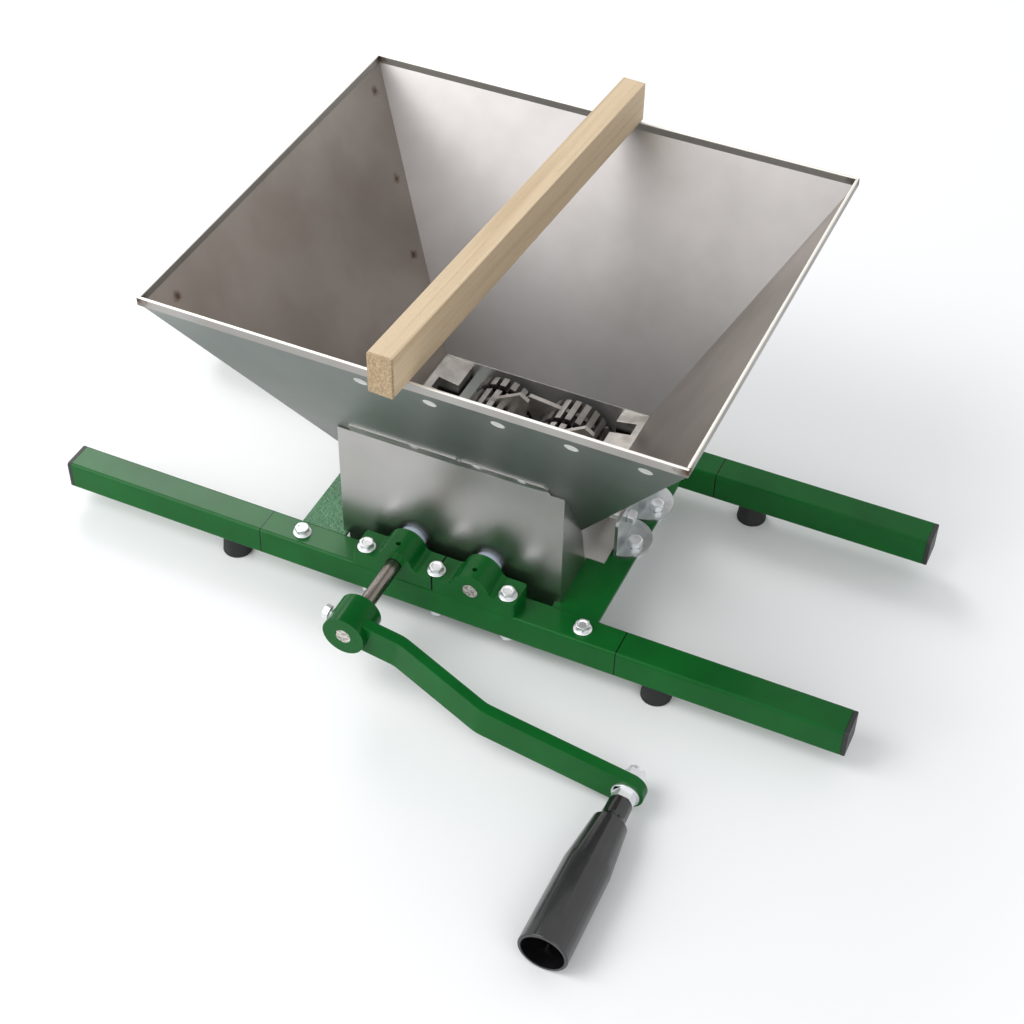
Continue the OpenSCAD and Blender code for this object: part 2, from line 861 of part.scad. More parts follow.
// Section of a rotor through its lugs
module lug_section() {
  lug_w = lug_share * 2 * PI * (lug_r - lug_h / 2) / lugs;
  circle(lug_r - lug_h);
  intersection() {
    circle(lug_r);
    for (k = [0:lugs - 1]) {
      rotate(360 * k / lugs) translate([lug_r - 2 * lug_h, -lug_w / 2]) square([3 * lug_h, lug_w]);
    }
  }
}

// Two-armed paddle, its arms along X, each with straight edges that touch the hub circle
module paddle_section() {
  corner = norm([paddle_r, paddle_tip / 2]);
  turn = atan(paddle_tip / 2 / paddle_r) + acos(paddle_hub_r / corner);
  touch = paddle_hub_r * [cos(turn), sin(turn)];
  circle(paddle_hub_r);
  for (a = [0, 180]) rotate(a) {
    polygon([[0, 0], [touch[0], -touch[1]], [paddle_r, -paddle_tip / 2],
      [paddle_r, paddle_tip / 2], touch]);
  }
}

// Rotor on the shaft at x, its last paddle at paddle_y and turned by the given angle
module rotor(x, paddle_y, angle) {
  color(cast) place() difference() {
    translate([x, 0, shaft_z]) {
      along_y(core_front, rotor_back) circle(core_r);
      for (i = [-1:paddles]) {
        middle = paddle_y - i * paddle_pitch;
        from = max(rotor_front, middle - section_w / 2);
        to = min(rotor_back, middle + section_w / 2);
        if (to > from) along_y(from, to) lug_section();
      }
      for (i = [0:paddles - 1]) {
        middle = paddle_y - i * paddle_pitch;
        along_y(middle - paddle_t / 2, middle + paddle_t / 2)
          rotate(angle + i * paddle_step) paddle_section();
      }
    }
    round_y(x, shaft_z, shaft_r + fit_gap, core_front - over, rotor_back + over);
    pins(x, paddle_y, fit_gap);
  }
}

module drive_rotor() {
  rotor(-shaft_x, drive_paddle_y, drive_paddle_angle);
}

module driven_rotor() {
  rotor(shaft_x, driven_paddle_y, driven_paddle_angle);
}

// End wall of the chamber from y0 to y1, with holes of radius r for the shafts
module end_wall(y0, y1, r) {
  skirt_x = plate_in - over;
  color(stainless) place() along_y(y0, y1) difference() {
    union() {
      translate([-chamber_x + lap, plate_top + lap])
        square([chamber_w - 2 * lap, wall_top - plate_top - lap]);
      translate([-skirt_x, rail_top - wall_skirt]) square([2 * skirt_x, wall_skirt]);
    }
    for (x = [-shaft_x, shaft_x]) translate([x, shaft_z]) circle(r);
  }
}

module chamber_front_wall() {
  end_wall(chamber_front - sheet, chamber_front, shaft_r + rotor_gap);
}

module chamber_rear_wall() {
  end_wall(chamber_back, chamber_back + sheet, collar_r + bolt_gap);
}

// Side wall of the chamber with its foot, side -1 at the left and 1 at the right
module side_wall(side, ears) {
  color(stainless) place() mirror([side > 0 ? 0 : 1, 0, 0]) difference() {
    union() {
      translate([chamber_x, chamber_front - sheet, plate_top])
        cube([sheet, chamber_d + 2 * sheet, wall_top - plate_top]);
      translate([chamber_x, chamber_front + foot_setback, plate_top])
        cube([sheet + foot_flange, chamber_d - foot_setback - sheet, sheet]);
    }
    for (y = ears) translate([chamber_x - over, y, leaf_bolt_z]) rotate([0, 90, 0])
      cylinder(r = bolt_hole_r, h = sheet + 2 * over);
  }
}

module chamber_left_wall() {
  side_wall(-1, left_ears);
}

module chamber_right_wall() {
  side_wall(1, right_ears);
}

// Sizes of hopper panel k: 0 front, 1 right, 2 back, 3 left
function is_side(k) = k % 2 == 1;
function panel_half(k) = is_side(k) ? chamber_x : chamber_d / 2;
function panel_run(k) = (is_side(k) ? mouth_w / 2 : mouth_d / 2) - panel_half(k);
function panel_low(k) = is_side(k) ? chamber_d : chamber_w;
function panel_high(k) = is_side(k) ? mouth_d : mouth_w;
function panel_tilt(k) = atan(panel_run(k) / rise);
function panel_len(k) = norm([panel_run(k), rise]);

// Lays its children on panel k's inner face: X along its lower edge, Y up the slope, Z outwards
module on_panel(k) {
  translate([0, chamber_mid, throat_z]) rotate([0, 0, 90 * k])
    translate([0, -panel_half(k), 0]) rotate([90 + panel_tilt(k), 0, 0]) children();
}

// All that lies further out than the given distance from panel k's inner face
module beyond_panel(k, distance) {
  on_panel(k) translate([-half_space / 2, -half_space / 2, distance]) cube(half_space);
}

// Sloped sheet of panel k, wider than its place by the given margin at both ends
module panel_sheet(k, margin) {
  low = panel_low(k) / 2 + margin;
  high = panel_high(k) / 2 + margin;
  on_panel(k) linear_extrude(sheet)
    polygon([[-low, 0], [low, 0], [high, panel_len(k)], [-high, panel_len(k)]]);
}

// Upright rim over panel k, wider than the mouth by the given margin at both ends
module panel_rim(k, margin) {
  half = panel_high(k) / 2 + margin;
  out = (is_side(k) ? mouth_w : mouth_d) / 2;
  translate([0, chamber_mid, 0]) rotate([0, 0, 90 * k])
    translate([-half, -out - rim_t, slope_z - sheet]) cube([2 * half, rim_t, rim_h + sheet]);
}

// All that lies further out than the rim over panel k
module beyond_rim(k) {
  out = (is_side(k) ? mouth_w : mouth_d) / 2 - lap;
  translate([0, chamber_mid, 0]) rotate([0, 0, 90 * k])
    translate([-half_space / 2, -out - half_space, -half_space / 2]) cube(half_space);
}

// Flap that laps over neighbour n at the seam on the side given as -1 or 1
module corner_flap(n, side) {
  low = panel_low(n) / 2;
  high = panel_high(n) / 2;
  grow = (high - low) / panel_len(n);
  from = flap_start;
  to = panel_len(n) - flap_stop;
  on_panel(n) translate([0, 0, sheet + lap]) linear_extrude(sheet) mirror([side > 0 ? 0 : 1, 0])
    polygon([[low + grow * from - flap_w, from], [low + grow * from + 3 * sheet, from],
      [low + grow * to + 3 * sheet, to], [low + grow * to - flap_w, to]]);
}

// Front or back panel: its sheet passes the side panels' edges and their flaps
module end_panel(k) {
  color(stainless) place() difference() {
    panel_sheet(k, 4 * sheet);
    beyond_panel(1, 2 * sheet + lap);
    beyond_panel(3, 2 * sheet + lap);
    beyond_rim(k);
  }
}

// Side panel, held between the front and the back panels
module side_panel(k) {
  color(stainless) place() difference() {
    panel_sheet(k, 4 * sheet);
    beyond_panel(0, -lap);
    beyond_panel(2, -lap);
    beyond_rim(k);
  }
}

module hopper_front_panel() {
  end_panel(0);
}

module hopper_back_panel() {
  end_panel(2);
}

module hopper_left_panel() {
  side_panel(3);
}

module hopper_right_panel() {
  side_panel(1);
}

// Flaps of the front and back panels, folded over the side panels' edges
module hopper_corner_flaps() {
  color(stainless) place() for (k = [0, 2]) difference() {
    union() {
      corner_flap(k + 1, -1);
      corner_flap((k + 3) % 4, 1);
    }
    beyond_panel(k, -lap);
  }
}

// Folded rim round the mouth, one length over each panel
module hopper_rim() {
  color(stainless) place() {
    for (k = [0, 2]) panel_rim(k, rim_t);
    for (k = [1, 3]) difference() {
      panel_rim(k, -lap);
      beyond_panel(0, -lap);
      beyond_panel(2, -lap);
    }
  }
}

// Point in Y and Z on the front panel: up its slope, and out from its inner face
function on_slope(up, out) = [
  chamber_front - up * sin(panel_tilt(0)) - out * cos(panel_tilt(0)),
  throat_z + up * cos(panel_tilt(0)) - out * sin(panel_tilt(0))
];

// Way up the front panel's slope, at a distance out of its inner face, to the place y
function slope_at(y, out) = (chamber_front - y - out * cos(panel_tilt(0))) / sin(panel_tilt(0));

// Extrudes a shape drawn in Y and Z along X, from x0 over the given length
module along_x(x0, length) {
  translate([x0, 0, 0]) rotate([90, 0, 90]) linear_extrude(length) children();
}

// Folded cover over the gears: face, two cheeks, and a lip on the hopper's front panel
module gear_cover() {
  inner = sheet + lap;
  outer = inner + sheet;
  low = plate_top + lap;
  skirt_x = plate_in - over;
  lip_start = slope_at(cover_inner, inner);
  lip_end = lip_start + cover_lip;
  fold = on_slope(slope_at(cover_face, outer), outer);
  lip_half = cheek_out - cover_lip_inset;
  cheek_back = cover_face + cheek_d;
  cheek_top = cheek_back - cheek_lean;
  color(stainless) place() {
    difference() {
      union() {
        along_x(-cheek_out, 2 * cheek_out) polygon([
          [cover_face, low], [cover_inner, low], on_slope(lip_start, inner),
          on_slope(lip_end, inner), on_slope(lip_end, outer), fold
        ]);
        along_x(-skirt_x, 2 * skirt_x) translate([cover_face, rail_top - wall_skirt])
          square([sheet, wall_skirt]);
      }
      for (side = [0, 1]) mirror([side, 0, 0]) {
        translate([lip_half, cover_face - 2 * cover_lip, fold[1]]) cube(2 * cover_lip + cover_lip_inset);
        on_panel(0) translate([lip_half, lip_end, 0]) linear_extrude(2 * outer)
          polygon([[-cover_lip_cut - over, over], [over, -cover_lip_cut - over], [over, over]]);
      }
      on_panel(0) translate([cover_notch_x, lip_end, 0]) cylinder(r = cover_notch_r, h = 2 * outer);
      for (x = [-shaft_x, shaft_x]) round_y(x, shaft_z, cover_hole_r, cover_face - over, cover_inner + over);
    }
    for (side = [0, 1]) mirror([side, 0, 0]) along_x(cheek_in, sheet) polygon([
      [cover_face + sheet / 2, low], [cheek_back, low], on_slope(slope_at(cheek_top, inner), inner),
      on_slope((fold[1] + inner * sin(panel_tilt(0)) - throat_z) / cos(panel_tilt(0)), inner),
      [cover_face + sheet / 2, fold[1]]
    ]);
  }
}

// Comb on the right wall, with slots for the paddles whose last one is at paddle_y
module comb(side, paddle_y, ears) {
  top = throat_z - comb_drop;
  tooth_x = shaft_x + lug_r + comb_gap;
  spine_x = chamber_x - comb_spine;
  wall_x = chamber_x - lap;
  color(cast) place() mirror([side > 0 ? 0 : 1, 0, 0]) difference() {
    union() {
      along_y(chamber_front + lap, chamber_back - lap)
        polygon([[wall_x, top], [wall_x, top - comb_h], [spine_x, top - comb_h],
          [spine_x, top - comb_t - comb_fall / 2], [tooth_x, top - comb_t - comb_fall],
          [tooth_x, top - comb_fall]]);
    }
    for (i = [0:paddles - 1]) {
      translate([tooth_x - over, paddle_y - i * paddle_pitch - comb_slot / 2, top - comb_h - over])
        cube([spine_x - tooth_x + over, comb_slot, comb_h + 2 * over]);
    }
    for (y = ears) translate([spine_x - over, y, leaf_bolt_z]) rotate([0, 90, 0])
      cylinder(r = bolt_r + fit_gap, h = comb_spine + 2 * over);
  }
}

module left_comb() {
  comb(-1, drive_paddle_y, left_ears);
}

module right_comb() {
  comb(1, driven_paddle_y, right_ears);
}

// Brackets of one side: a round ear on the cross plate and a leaf that holds the comb
module brackets(side, ears) {
  color(zinc) place() mirror([side > 0 ? 0 : 1, 0, 0]) for (y = ears) difference() {
    union() {
      translate([leaf_x, y, plate_top]) linear_extrude(ear_t) intersection() {
        circle(ear_r);
        translate([0, -ear_r]) square([ear_r, 2 * ear_r]);
      }
      translate([leaf_x, y, plate_top]) rotate([90, 0, 90]) linear_extrude(ear_t)
        round_topped(2 * ear_r, leaf_h, leaf_corner);
    }
    translate([bracket_bolt_x, y - ear_bolt_shift, plate_top - over])
      cylinder(r = bolt_hole_r, h = ear_t + 2 * over);
    translate([leaf_x - over, y, leaf_bolt_z]) rotate([0, 90, 0])
      cylinder(r = bolt_hole_r, h = ear_t + 2 * over);
  }
}

module left_brackets() {
  brackets(-1, left_ears);
}

module right_brackets() {
  brackets(1, right_ears);
}

// Calls its children at the four bracket bolts, at the given height
module at_bracket_bolts(z) {
  for (y = right_ears) translate([bracket_bolt_x, y - ear_bolt_shift, z]) children();
  for (y = left_ears) translate([-bracket_bolt_x, y - ear_bolt_shift, z]) children();
}

module bracket_bolts() {
  color(zinc) place() at_bracket_bolts(plate_top + ear_t)
    hex_bolt(ear_t + plate_t + nut_h + bolt_out, hex_h);
}

module bracket_nuts() {
  color(zinc) place() at_bracket_bolts(plate_top - plate_t - nut_h) hex_nut(nut_h);
}

// Calls its children at the four comb bolts, their Z inwards from the leaf's outer face
module at_comb_bolts() {
  for (y = right_ears) translate([leaf_x + ear_t, y, leaf_bolt_z]) rotate([0, 90, 0]) children();
  for (y = left_ears) translate([-leaf_x - ear_t, y, leaf_bolt_z]) rotate([0, -90, 0]) children();
}

module comb_bolts() {
  color(zinc) place() at_comb_bolts() hex_bolt(ear_t + leaf_gap + sheet + comb_spine, hex_h);
}

module comb_spacers() {
  color(zinc) place() at_comb_bolts() translate([0, 0, -ear_t - leaf_gap]) difference() {
    cylinder(r = spacer_d / 2, h = leaf_gap);
    translate([0, 0, -over]) cylinder(r = bolt_hole_r, h = leaf_gap + 2 * over);
  }
}

// Frame of the crank: its X along the arm, its origin on the shaft
module in_crank() {
  translate([-shaft_x, 0, shaft_z]) rotate([0, crank_drop, 0]) children();
}

module crank_hub() {
  color(green) place() in_crank() difference() {
    round_y(0, 0, hub_r, hub_face, hub_back);
    round_y(0, 0, shaft_r + fit_gap, hub_face - over, hub_back + over);
    translate([-hub_r - over, (hub_face + hub_back) / 2, 0]) rotate([0, 90, 0])
      cylinder(r = bolt_r + fit_gap, h = hub_r + over);
  }
}

// Points of an arc about c, from angle a0 to a1
function arc(c, r, a0, a1) = [for (i = [0:bend_steps])
  let (a = a0 + (a1 - a0) * i / bend_steps) c + r * [cos(a), sin(a)]];

// Crank bar from above: straight, a step forward with round bends, and straight again
module bar_plan() {
  middle = bar_face + bar_t / 2;
  first = [bend_start - bend_tangent, middle - bend_r];
  second = [bend_end + bend_tangent, middle - bar_joggle + bend_r];
  wide = bend_r + bar_t / 2;
  tight = bend_r - bar_t / 2;
  bar_end = crank_r + bar_h;
  polygon(concat(
    [[0, bar_face + bar_t]],
    arc(first, wide, 90, 90 - bar_lean),
    arc(second, tight, 270 - bar_lean, 270),
    [[bar_end, arm_back], [bar_end, arm_face]],
    arc(second, wide, 270, 270 - bar_lean),
    arc(first, tight, 90 - bar_lean, 90),
    [[0, bar_face]]
  ));
}

module crank_bar() {
  color(green) place() in_crank() difference() {
    intersection() {
      linear_extrude(bar_h, center = true) bar_plan();
      along_y(arm_face - over, bar_face + bar_t + over) {
        translate([0, -bar_h / 2]) square([crank_r, bar_h]);
        translate([crank_r, 0]) circle(bar_h / 2);
      }
    }
    round_y(0, 0, hub_r + lap, hub_face, hub_back);
    round_y(crank_r, 0, grip_bolt_r + bolt_gap, arm_face - over, arm_back + over);
  }
}

module crank_set_screw() {
  tip = shaft_r - shaft_flat + lap;
  seat = hub_r + set_screw_gap;
  color(zinc) place() in_crank() translate([-seat, (hub_face + hub_back) / 2, 0])
    rotate([0, -90, 0]) hex_bolt(seat - tip, set_screw_head);
}

// Turns a fastener drawn upright to stand on the arm's end, its Z to the back
module on_arm_end(y) {
  in_crank() translate([crank_r, y, 0]) rotate([-90, 0, 0]) children();
}

module grip_bolt() {
  head_y = grip_floor - grip_head_gap - grip_head_h;
  tail_y = arm_back + spring_washer_t + lock_nut_h + lock_nut_crown_h + bolt_out / 2;
  color(zinc) place() on_arm_end(head_y) {
    hex_bar(grip_af, grip_head_h);
    cylinder(r = grip_bolt_r, h = tail_y - head_y);
  }
}

module grip_flange_nut() {
  color(zinc) place() on_arm_end(arm_face - flange_nut_h) difference() {
    union() {
      hex_bar(grip_af, flange_nut_h);
      translate([0, 0, flange_nut_h - flange_nut_rim]) cylinder(r = flange_nut_r, h = flange_nut_rim);
    }
    translate([0, 0, -over]) cylinder(r = grip_bolt_r + fit_gap, h = flange_nut_h + 2 * over);
  }
}

module grip_spring_washer() {
  color(zinc) place() on_arm_end(arm_back) difference() {
    cylinder(r = spring_washer_r, h = spring_washer_t);
    translate([0, 0, -over]) cylinder(r = grip_bolt_r + bolt_gap, h = spring_washer_t + 2 * over);
    translate([0, -spring_washer_slit / 2, -over])
      cube([spring_washer_r + over, spring_washer_slit, spring_washer_t + 2 * over]);
  }
}

module grip_lock_nut() {
  color(zinc) place() on_arm_end(arm_back + spring_washer_t) difference() {
    union() {
      hex_bar(grip_af, lock_nut_h);
      cylinder(r = lock_nut_crown_r, h = lock_nut_h + lock_nut_crown_h);
    }
    translate([0, 0, -over])
      cylinder(r = grip_bolt_r + fit_gap, h = lock_nut_h + lock_nut_crown_h + 2 * over);
  }
}

// Outline of the grip, from its neck up to its open end
module grip_outline() {
  cone_start = grip_neck + grip_shoulder;
  polygon([[0, 0], [grip_neck_r - grip_round, 0], [grip_neck_r - grip_round / 2, grip_round],
    [grip_neck_r, grip_neck], [grip_shoulder_r - grip_round, cone_start - grip_round],
    [grip_shoulder_r, cone_start], [grip_mid_r, cone_start + grip_cone],
    [grip_r, grip_len - grip_round], [0, grip_len - grip_round]]);
  translate([0, grip_len - grip_wall]) square([grip_r - grip_round, grip_wall]);
  translate([grip_r - grip_round, grip_len - grip_round]) circle(grip_round);
}

// The grip stands on its open end's side of the arm, hollow and ribbed inside
module crank_grip() {
  bore_r = grip_r - grip_wall;
  hollow_start = grip_len - grip_hollow;
  narrow_r = grip_mid_r - grip_wall;
  color(black) place() in_crank() translate([crank_r, grip_start, 0]) rotate([90, 0, 0]) {
    difference() {
      rotate_extrude() grip_outline();
      translate([0, 0, -over]) cylinder(r = grip_bolt_r + run_gap, h = grip_len);
      translate([0, 0, hollow_start]) cylinder(r1 = narrow_r, r2 = bore_r, h = grip_hollow + over);
    }
    for (k = [0:grip_ribs - 1]) rotate([0, 0, 360 * k / grip_ribs])
      translate([grip_rib_r, -grip_rib_t / 2, hollow_start - over])
        cube([narrow_r + grip_wall / 3 - grip_rib_r, grip_rib_t, grip_hollow - grip_rib_inset + over]);
  }
}

module pusher_bar() {
  color(beech) place() translate([pusher_x, pusher_y, mouth_z + pusher_gap + pusher_h / 2])
    rotate([0, 0, -pusher_turn]) along_y(-pusher_len / 2, pusher_len / 2) {
      square([pusher_w, pusher_h - 2 * pusher_edge], center = true);
      square([pusher_w - 2 * pusher_edge, pusher_h], center = true);
      for (x = [-1, 1], z = [-1, 1]) {
        translate([x * (pusher_w / 2 - pusher_edge), z * (pusher_h / 2 - pusher_edge)]) circle(pusher_edge);
      }
    }
}

front_rail();
rear_rail();
left_cross_plate();
right_cross_plate();
front_left_arm();
front_right_arm();
rear_left_arm();
rear_right_arm();
arm_sleeves();
arm_end_caps();
rubber_feet();
foot_screws();
arm_clamp_bolts();
arm_clamp_nuts();
front_left_block();
front_right_block();
rear_left_block();
rear_right_block();
front_left_bush();
front_right_bush();
rear_left_bush();
rear_right_bush();
block_bolts();
block_nuts();
drive_shaft();
driven_shaft();
drive_gear();
driven_gear();
drive_pins();
driven_pins();
drive_rotor();
driven_rotor();
chamber_front_wall();
chamber_rear_wall();
chamber_left_wall();
chamber_right_wall();
gear_cover();
left_comb();
right_comb();
left_brackets();
right_brackets();
bracket_bolts();
bracket_nuts();
comb_bolts();
comb_spacers();
hopper_front_panel();
hopper_back_panel();
hopper_left_panel();
hopper_right_panel();
hopper_corner_flaps();
hopper_rim();
crank_hub();
crank_bar();
crank_set_screw();
grip_bolt();
grip_flange_nut();
grip_spring_washer();
grip_lock_nut();
crank_grip();
pusher_bar();
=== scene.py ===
"""Looks of a hand-cranked apple scratter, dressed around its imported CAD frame.

The machine stands on a pale floor. Each sub-assembly is a class that takes its places from the
frame, builds what the plain solids lack, and gives every piece its finish. Lengths are written in
millimetres and turned to metres by MM.
"""

from __future__ import annotations

import json
import logging
import math
from dataclasses import dataclass, replace
from enum import Enum
from typing import Any, Callable, Sequence

import bmesh
import bpy
from mathutils import Matrix, Vector

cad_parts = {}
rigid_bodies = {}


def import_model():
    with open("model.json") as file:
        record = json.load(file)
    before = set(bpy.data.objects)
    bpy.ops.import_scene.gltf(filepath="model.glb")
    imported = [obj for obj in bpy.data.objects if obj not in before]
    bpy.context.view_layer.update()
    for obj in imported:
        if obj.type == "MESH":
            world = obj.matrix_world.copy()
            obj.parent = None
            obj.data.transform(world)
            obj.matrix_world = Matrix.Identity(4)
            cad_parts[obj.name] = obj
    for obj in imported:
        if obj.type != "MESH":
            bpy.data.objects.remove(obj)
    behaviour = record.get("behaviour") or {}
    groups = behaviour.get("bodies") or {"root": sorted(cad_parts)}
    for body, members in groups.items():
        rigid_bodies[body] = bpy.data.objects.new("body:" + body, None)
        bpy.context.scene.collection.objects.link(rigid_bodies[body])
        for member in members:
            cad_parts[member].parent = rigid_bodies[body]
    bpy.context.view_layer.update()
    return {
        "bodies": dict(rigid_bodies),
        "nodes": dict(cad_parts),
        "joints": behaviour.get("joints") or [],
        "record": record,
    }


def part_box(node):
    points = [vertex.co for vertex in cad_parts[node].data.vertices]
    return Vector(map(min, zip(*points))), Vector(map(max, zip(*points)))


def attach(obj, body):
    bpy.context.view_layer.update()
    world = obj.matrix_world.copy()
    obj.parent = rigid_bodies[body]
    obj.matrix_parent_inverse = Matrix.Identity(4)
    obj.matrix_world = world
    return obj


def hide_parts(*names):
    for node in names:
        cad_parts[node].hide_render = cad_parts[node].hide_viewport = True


log = logging.getLogger("scratter")

Range = tuple[float, float]
Ring = Callable[[float], Range]

MM = 0.001
UP = Vector((0, 0, 1))
DOWN = Vector((0, 0, -1))
SLOPE_OUT = Vector((0, -0.87, -0.49))  # out of the hopper's front and the cover's lip
WHOLE: Range = (0.0, 1.0)


class Body(Enum):
    """The bodies of the frame that a piece can ride on."""

    FRAME = "frame"
    DRIVE = "drive"
    DRIVEN = "driven"
    GRIP = "grip"
    PUSHER = "pusher"


class Slot(Enum):
    """The record's material slots."""

    GREEN_PAINT = "green_paint"
    ZINC_PLATE = "zinc_plate"
    PLAIN_STEEL = "plain_steel"
    GEAR_STEEL = "gear_steel"
    CAST_ALUMINIUM = "cast_aluminium"
    STAINLESS_SHEET = "stainless_sheet"
    NYLON = "nylon"
    CAP_PLASTIC = "cap_plastic"
    FOOT_RUBBER = "foot_rubber"
    GRIP_PLASTIC = "grip_plastic"
    BEECH = "beech"


class Axis(Enum):
    """The axes of the frame, by the number of their coordinate."""

    X = 0
    Y = 1
    Z = 2


def linear(colour: str) -> tuple[float, float, float, float]:
    """Turns an sRGB hex colour to linear light.

    Args:
        colour: The colour as "#rrggbb".

    Returns:
        Red, green, blue and an alpha of one.
    """
    shares = [int(colour[i : i + 2], 16) / 255 for i in (1, 3, 5)]
    light = [s / 12.92 if s <= 0.04045 else ((s + 0.055) / 1.055) ** 2.4 for s in shares]
    return (light[0], light[1], light[2], 1.0)


def feed(tree: bpy.types.NodeTree, node: bpy.types.Node, values: dict[str | int, Any]) -> None:
    """Sets the inputs of a node.

    Args:
        tree: The tree that holds the node.
        node: The node.
        values: Input name or number to a value, or to the output socket that feeds it.
    """
    for name, value in values.items():
        socket = node.inputs[name]
        if isinstance(value, bpy.types.NodeSocket):
            tree.links.new(value, socket)
        else:
            socket.default_value = value


def add_node(
    tree: bpy.types.NodeTree,
    kind: str,
    values: dict[str | int, Any] | None = None,
    **settings: Any,
) -> bpy.types.Node:
    """Adds a node with its settings, its values and its links.

    Args:
        tree: The tree that takes the node.
        kind: The node's type name.
        values: What its inputs are set to or fed by.
        **settings: Attributes to set on the node before its inputs.

    Returns:
        The new node.
    """
    node = tree.nodes.new(kind)
    for name, value in settings.items():
        setattr(node, name, value)
    feed(tree, node, values or {})
    return node


def fresh_tree(owner: Any) -> bpy.types.NodeTree:
    """Empties the node tree of a material or a world.

    Args:
        owner: The material or world.

    Returns:
        Its tree.
    """
    owner.use_nodes = True
    owner.node_tree.nodes.clear()
    return owner.node_tree


def add_object(name: str, data: Any) -> bpy.types.Object:
    """Adds an object to the scene, at the origin.

    Args:
        name: The object's name.
        data: Its mesh, light or camera.

    Returns:
        The object.
    """
    made = bpy.data.objects.new(name, data)
    bpy.context.scene.collection.objects.link(made)
    return made


@dataclass(frozen=True)
class Brush:
    """Adds the nodes that lead to one shader, in the surface's Object coordinates, in metres."""

    tree: bpy.types.NodeTree
    shader: bpy.types.Node
    place: Any

    def dress(self, values: dict[str | int, Any]) -> None:
        """Sets the shader's inputs, each to a value or to the socket that feeds it."""
        feed(self.tree, self.shader, values)

    def noise(
        self,
        size: float,
        detail: float = 3.0,
        stretch: Sequence[float] = (1, 1, 1),
        offset: Sequence[float] = (0, 0, 0),
    ) -> Any:
        """Adds noise whose grains have a real size.

        Args:
            size: The size of a grain, in millimetres.
            detail: The number of octaves.
            stretch: How many times longer a grain is along each axis.
            offset: A shift of the pattern, in metres, that sets it apart from another.

        Returns:
            The output socket of the noise, from 0 to 1.
        """
        mapping = add_node(
            self.tree,
            "ShaderNodeMapping",
            {
                "Vector": self.place,
                "Location": offset,
                "Scale": [1 / (size * MM * s) for s in stretch],
            },
        )
        return add_node(
            self.tree,
            "ShaderNodeTexNoise",
            {"Vector": mapping.outputs[0], "Scale": 1.0, "Detail": detail, "Roughness": 0.55},
        ).outputs["Fac"]

    def ramp(self, value: Any, span: Range, low: str, high: str) -> Any:
        """Turns a value to a colour between two.

        Args:
            value: The socket that is read.
            span: The values at which the colours are pure.
            low: The sRGB colour of the lower value.
            high: The sRGB colour of the higher one.

        Returns:
            The colour's socket.
        """
        node = add_node(self.tree, "ShaderNodeValToRGB", {"Fac": value})
        for element, position, colour in zip(node.color_ramp.elements, span, (low, high)):
            element.position = position
            element.color = linear(colour)
        return node.outputs["Color"]

    def remap(self, value: Any, end: Range, start: Range = WHOLE) -> Any:
        """Maps a range of a value to another, and holds it at the ends.

        Args:
            value: The socket that is read.
            end: What the range becomes.
            start: The range.

        Returns:
            The mapped socket.
        """
        limits = {"From Min": start[0], "From Max": start[1], "To Min": end[0], "To Max": end[1]}
        mapped = add_node(self.tree, "ShaderNodeMapRange", {"Value": value, **limits})
        return mapped.outputs["Result"]

    def blend(self, share: Any, first: Any, second: Any) -> Any:
        """Mixes two colours.

        Args:
            share: The socket that tells how much of the second colour shows.
            first: The socket of the first colour.
            second: The socket of the second colour, or its sRGB hex.

        Returns:
            The mixed colour's socket.
        """
        over = linear(second) if isinstance(second, str) else second
        return add_node(
            self.tree, "ShaderNodeMix", {0: share, 6: first, 7: over}, data_type="RGBA"
        ).outputs[2]

    def vector(self, operation: str, first: Any, second: Any = (0, 0, 0)) -> bpy.types.Node:
        """Adds a vector sum, product or measure."""
        return add_node(
            self.tree, "ShaderNodeVectorMath", {0: first, 1: second}, operation=operation
        )

    def beyond(self, axis: Axis, level: float, fade: float) -> Any:
        """Tells what lies past a level along an axis.

        Args:
            axis: The axis that is measured.
            level: Where the change starts, in metres.
            fade: How far on it is complete, in millimetres, negative to look down the axis.

        Returns:
            A share from 0 before the level to 1 beyond it.
        """
        parts = add_node(self.tree, "ShaderNodeSeparateXYZ", {0: self.place})
        return self.remap(parts.outputs[axis.value], WHOLE, (level, level + fade * MM))

    def bump(self, height: Any, depth: float, strength: float = 1.0) -> None:
        """Gives the shader a relief.

        Args:
            height: The socket with the relief's height, from 0 to 1.
            depth: The real depth of the relief, in millimetres.
            strength: The share of the relief that shows.
        """
        node = add_node(
            self.tree,
            "ShaderNodeBump",
            {"Height": height, "Distance": depth * MM, "Strength": strength},
        )
        self.dress({"Normal": node.outputs[0]})


@dataclass(frozen=True)
class Finish:
    """A finish of the machine: the real material and how its surface was made.

    In every finish the sizes of grains and the depths of reliefs are in millimetres. A span holds
    the values of a noise at which its two colours are pure. A pair of roughness values belongs to
    the noise's 0 and 1.
    """

    name: str
    slot: Slot

    def paint(self, brush: Brush) -> None:
        """Dresses a shader.

        Args:
            brush: The material's brush.
        """
        raise NotImplementedError

    def material(self) -> bpy.types.Material:
        """Makes the material, or finds the one made before.

        Returns:
            The material.
        """
        made = bpy.data.materials.get(self.name)
        if made:
            return made
        made = bpy.data.materials.new(self.name)
        tree = fresh_tree(made)
        shader = add_node(tree, "ShaderNodeBsdfPrincipled")
        place = add_node(tree, "ShaderNodeTexCoord").outputs["Object"]
        self.paint(Brush(tree, shader, place))
        add_node(tree, "ShaderNodeOutputMaterial", {"Surface": shader.outputs[0]})
        return made


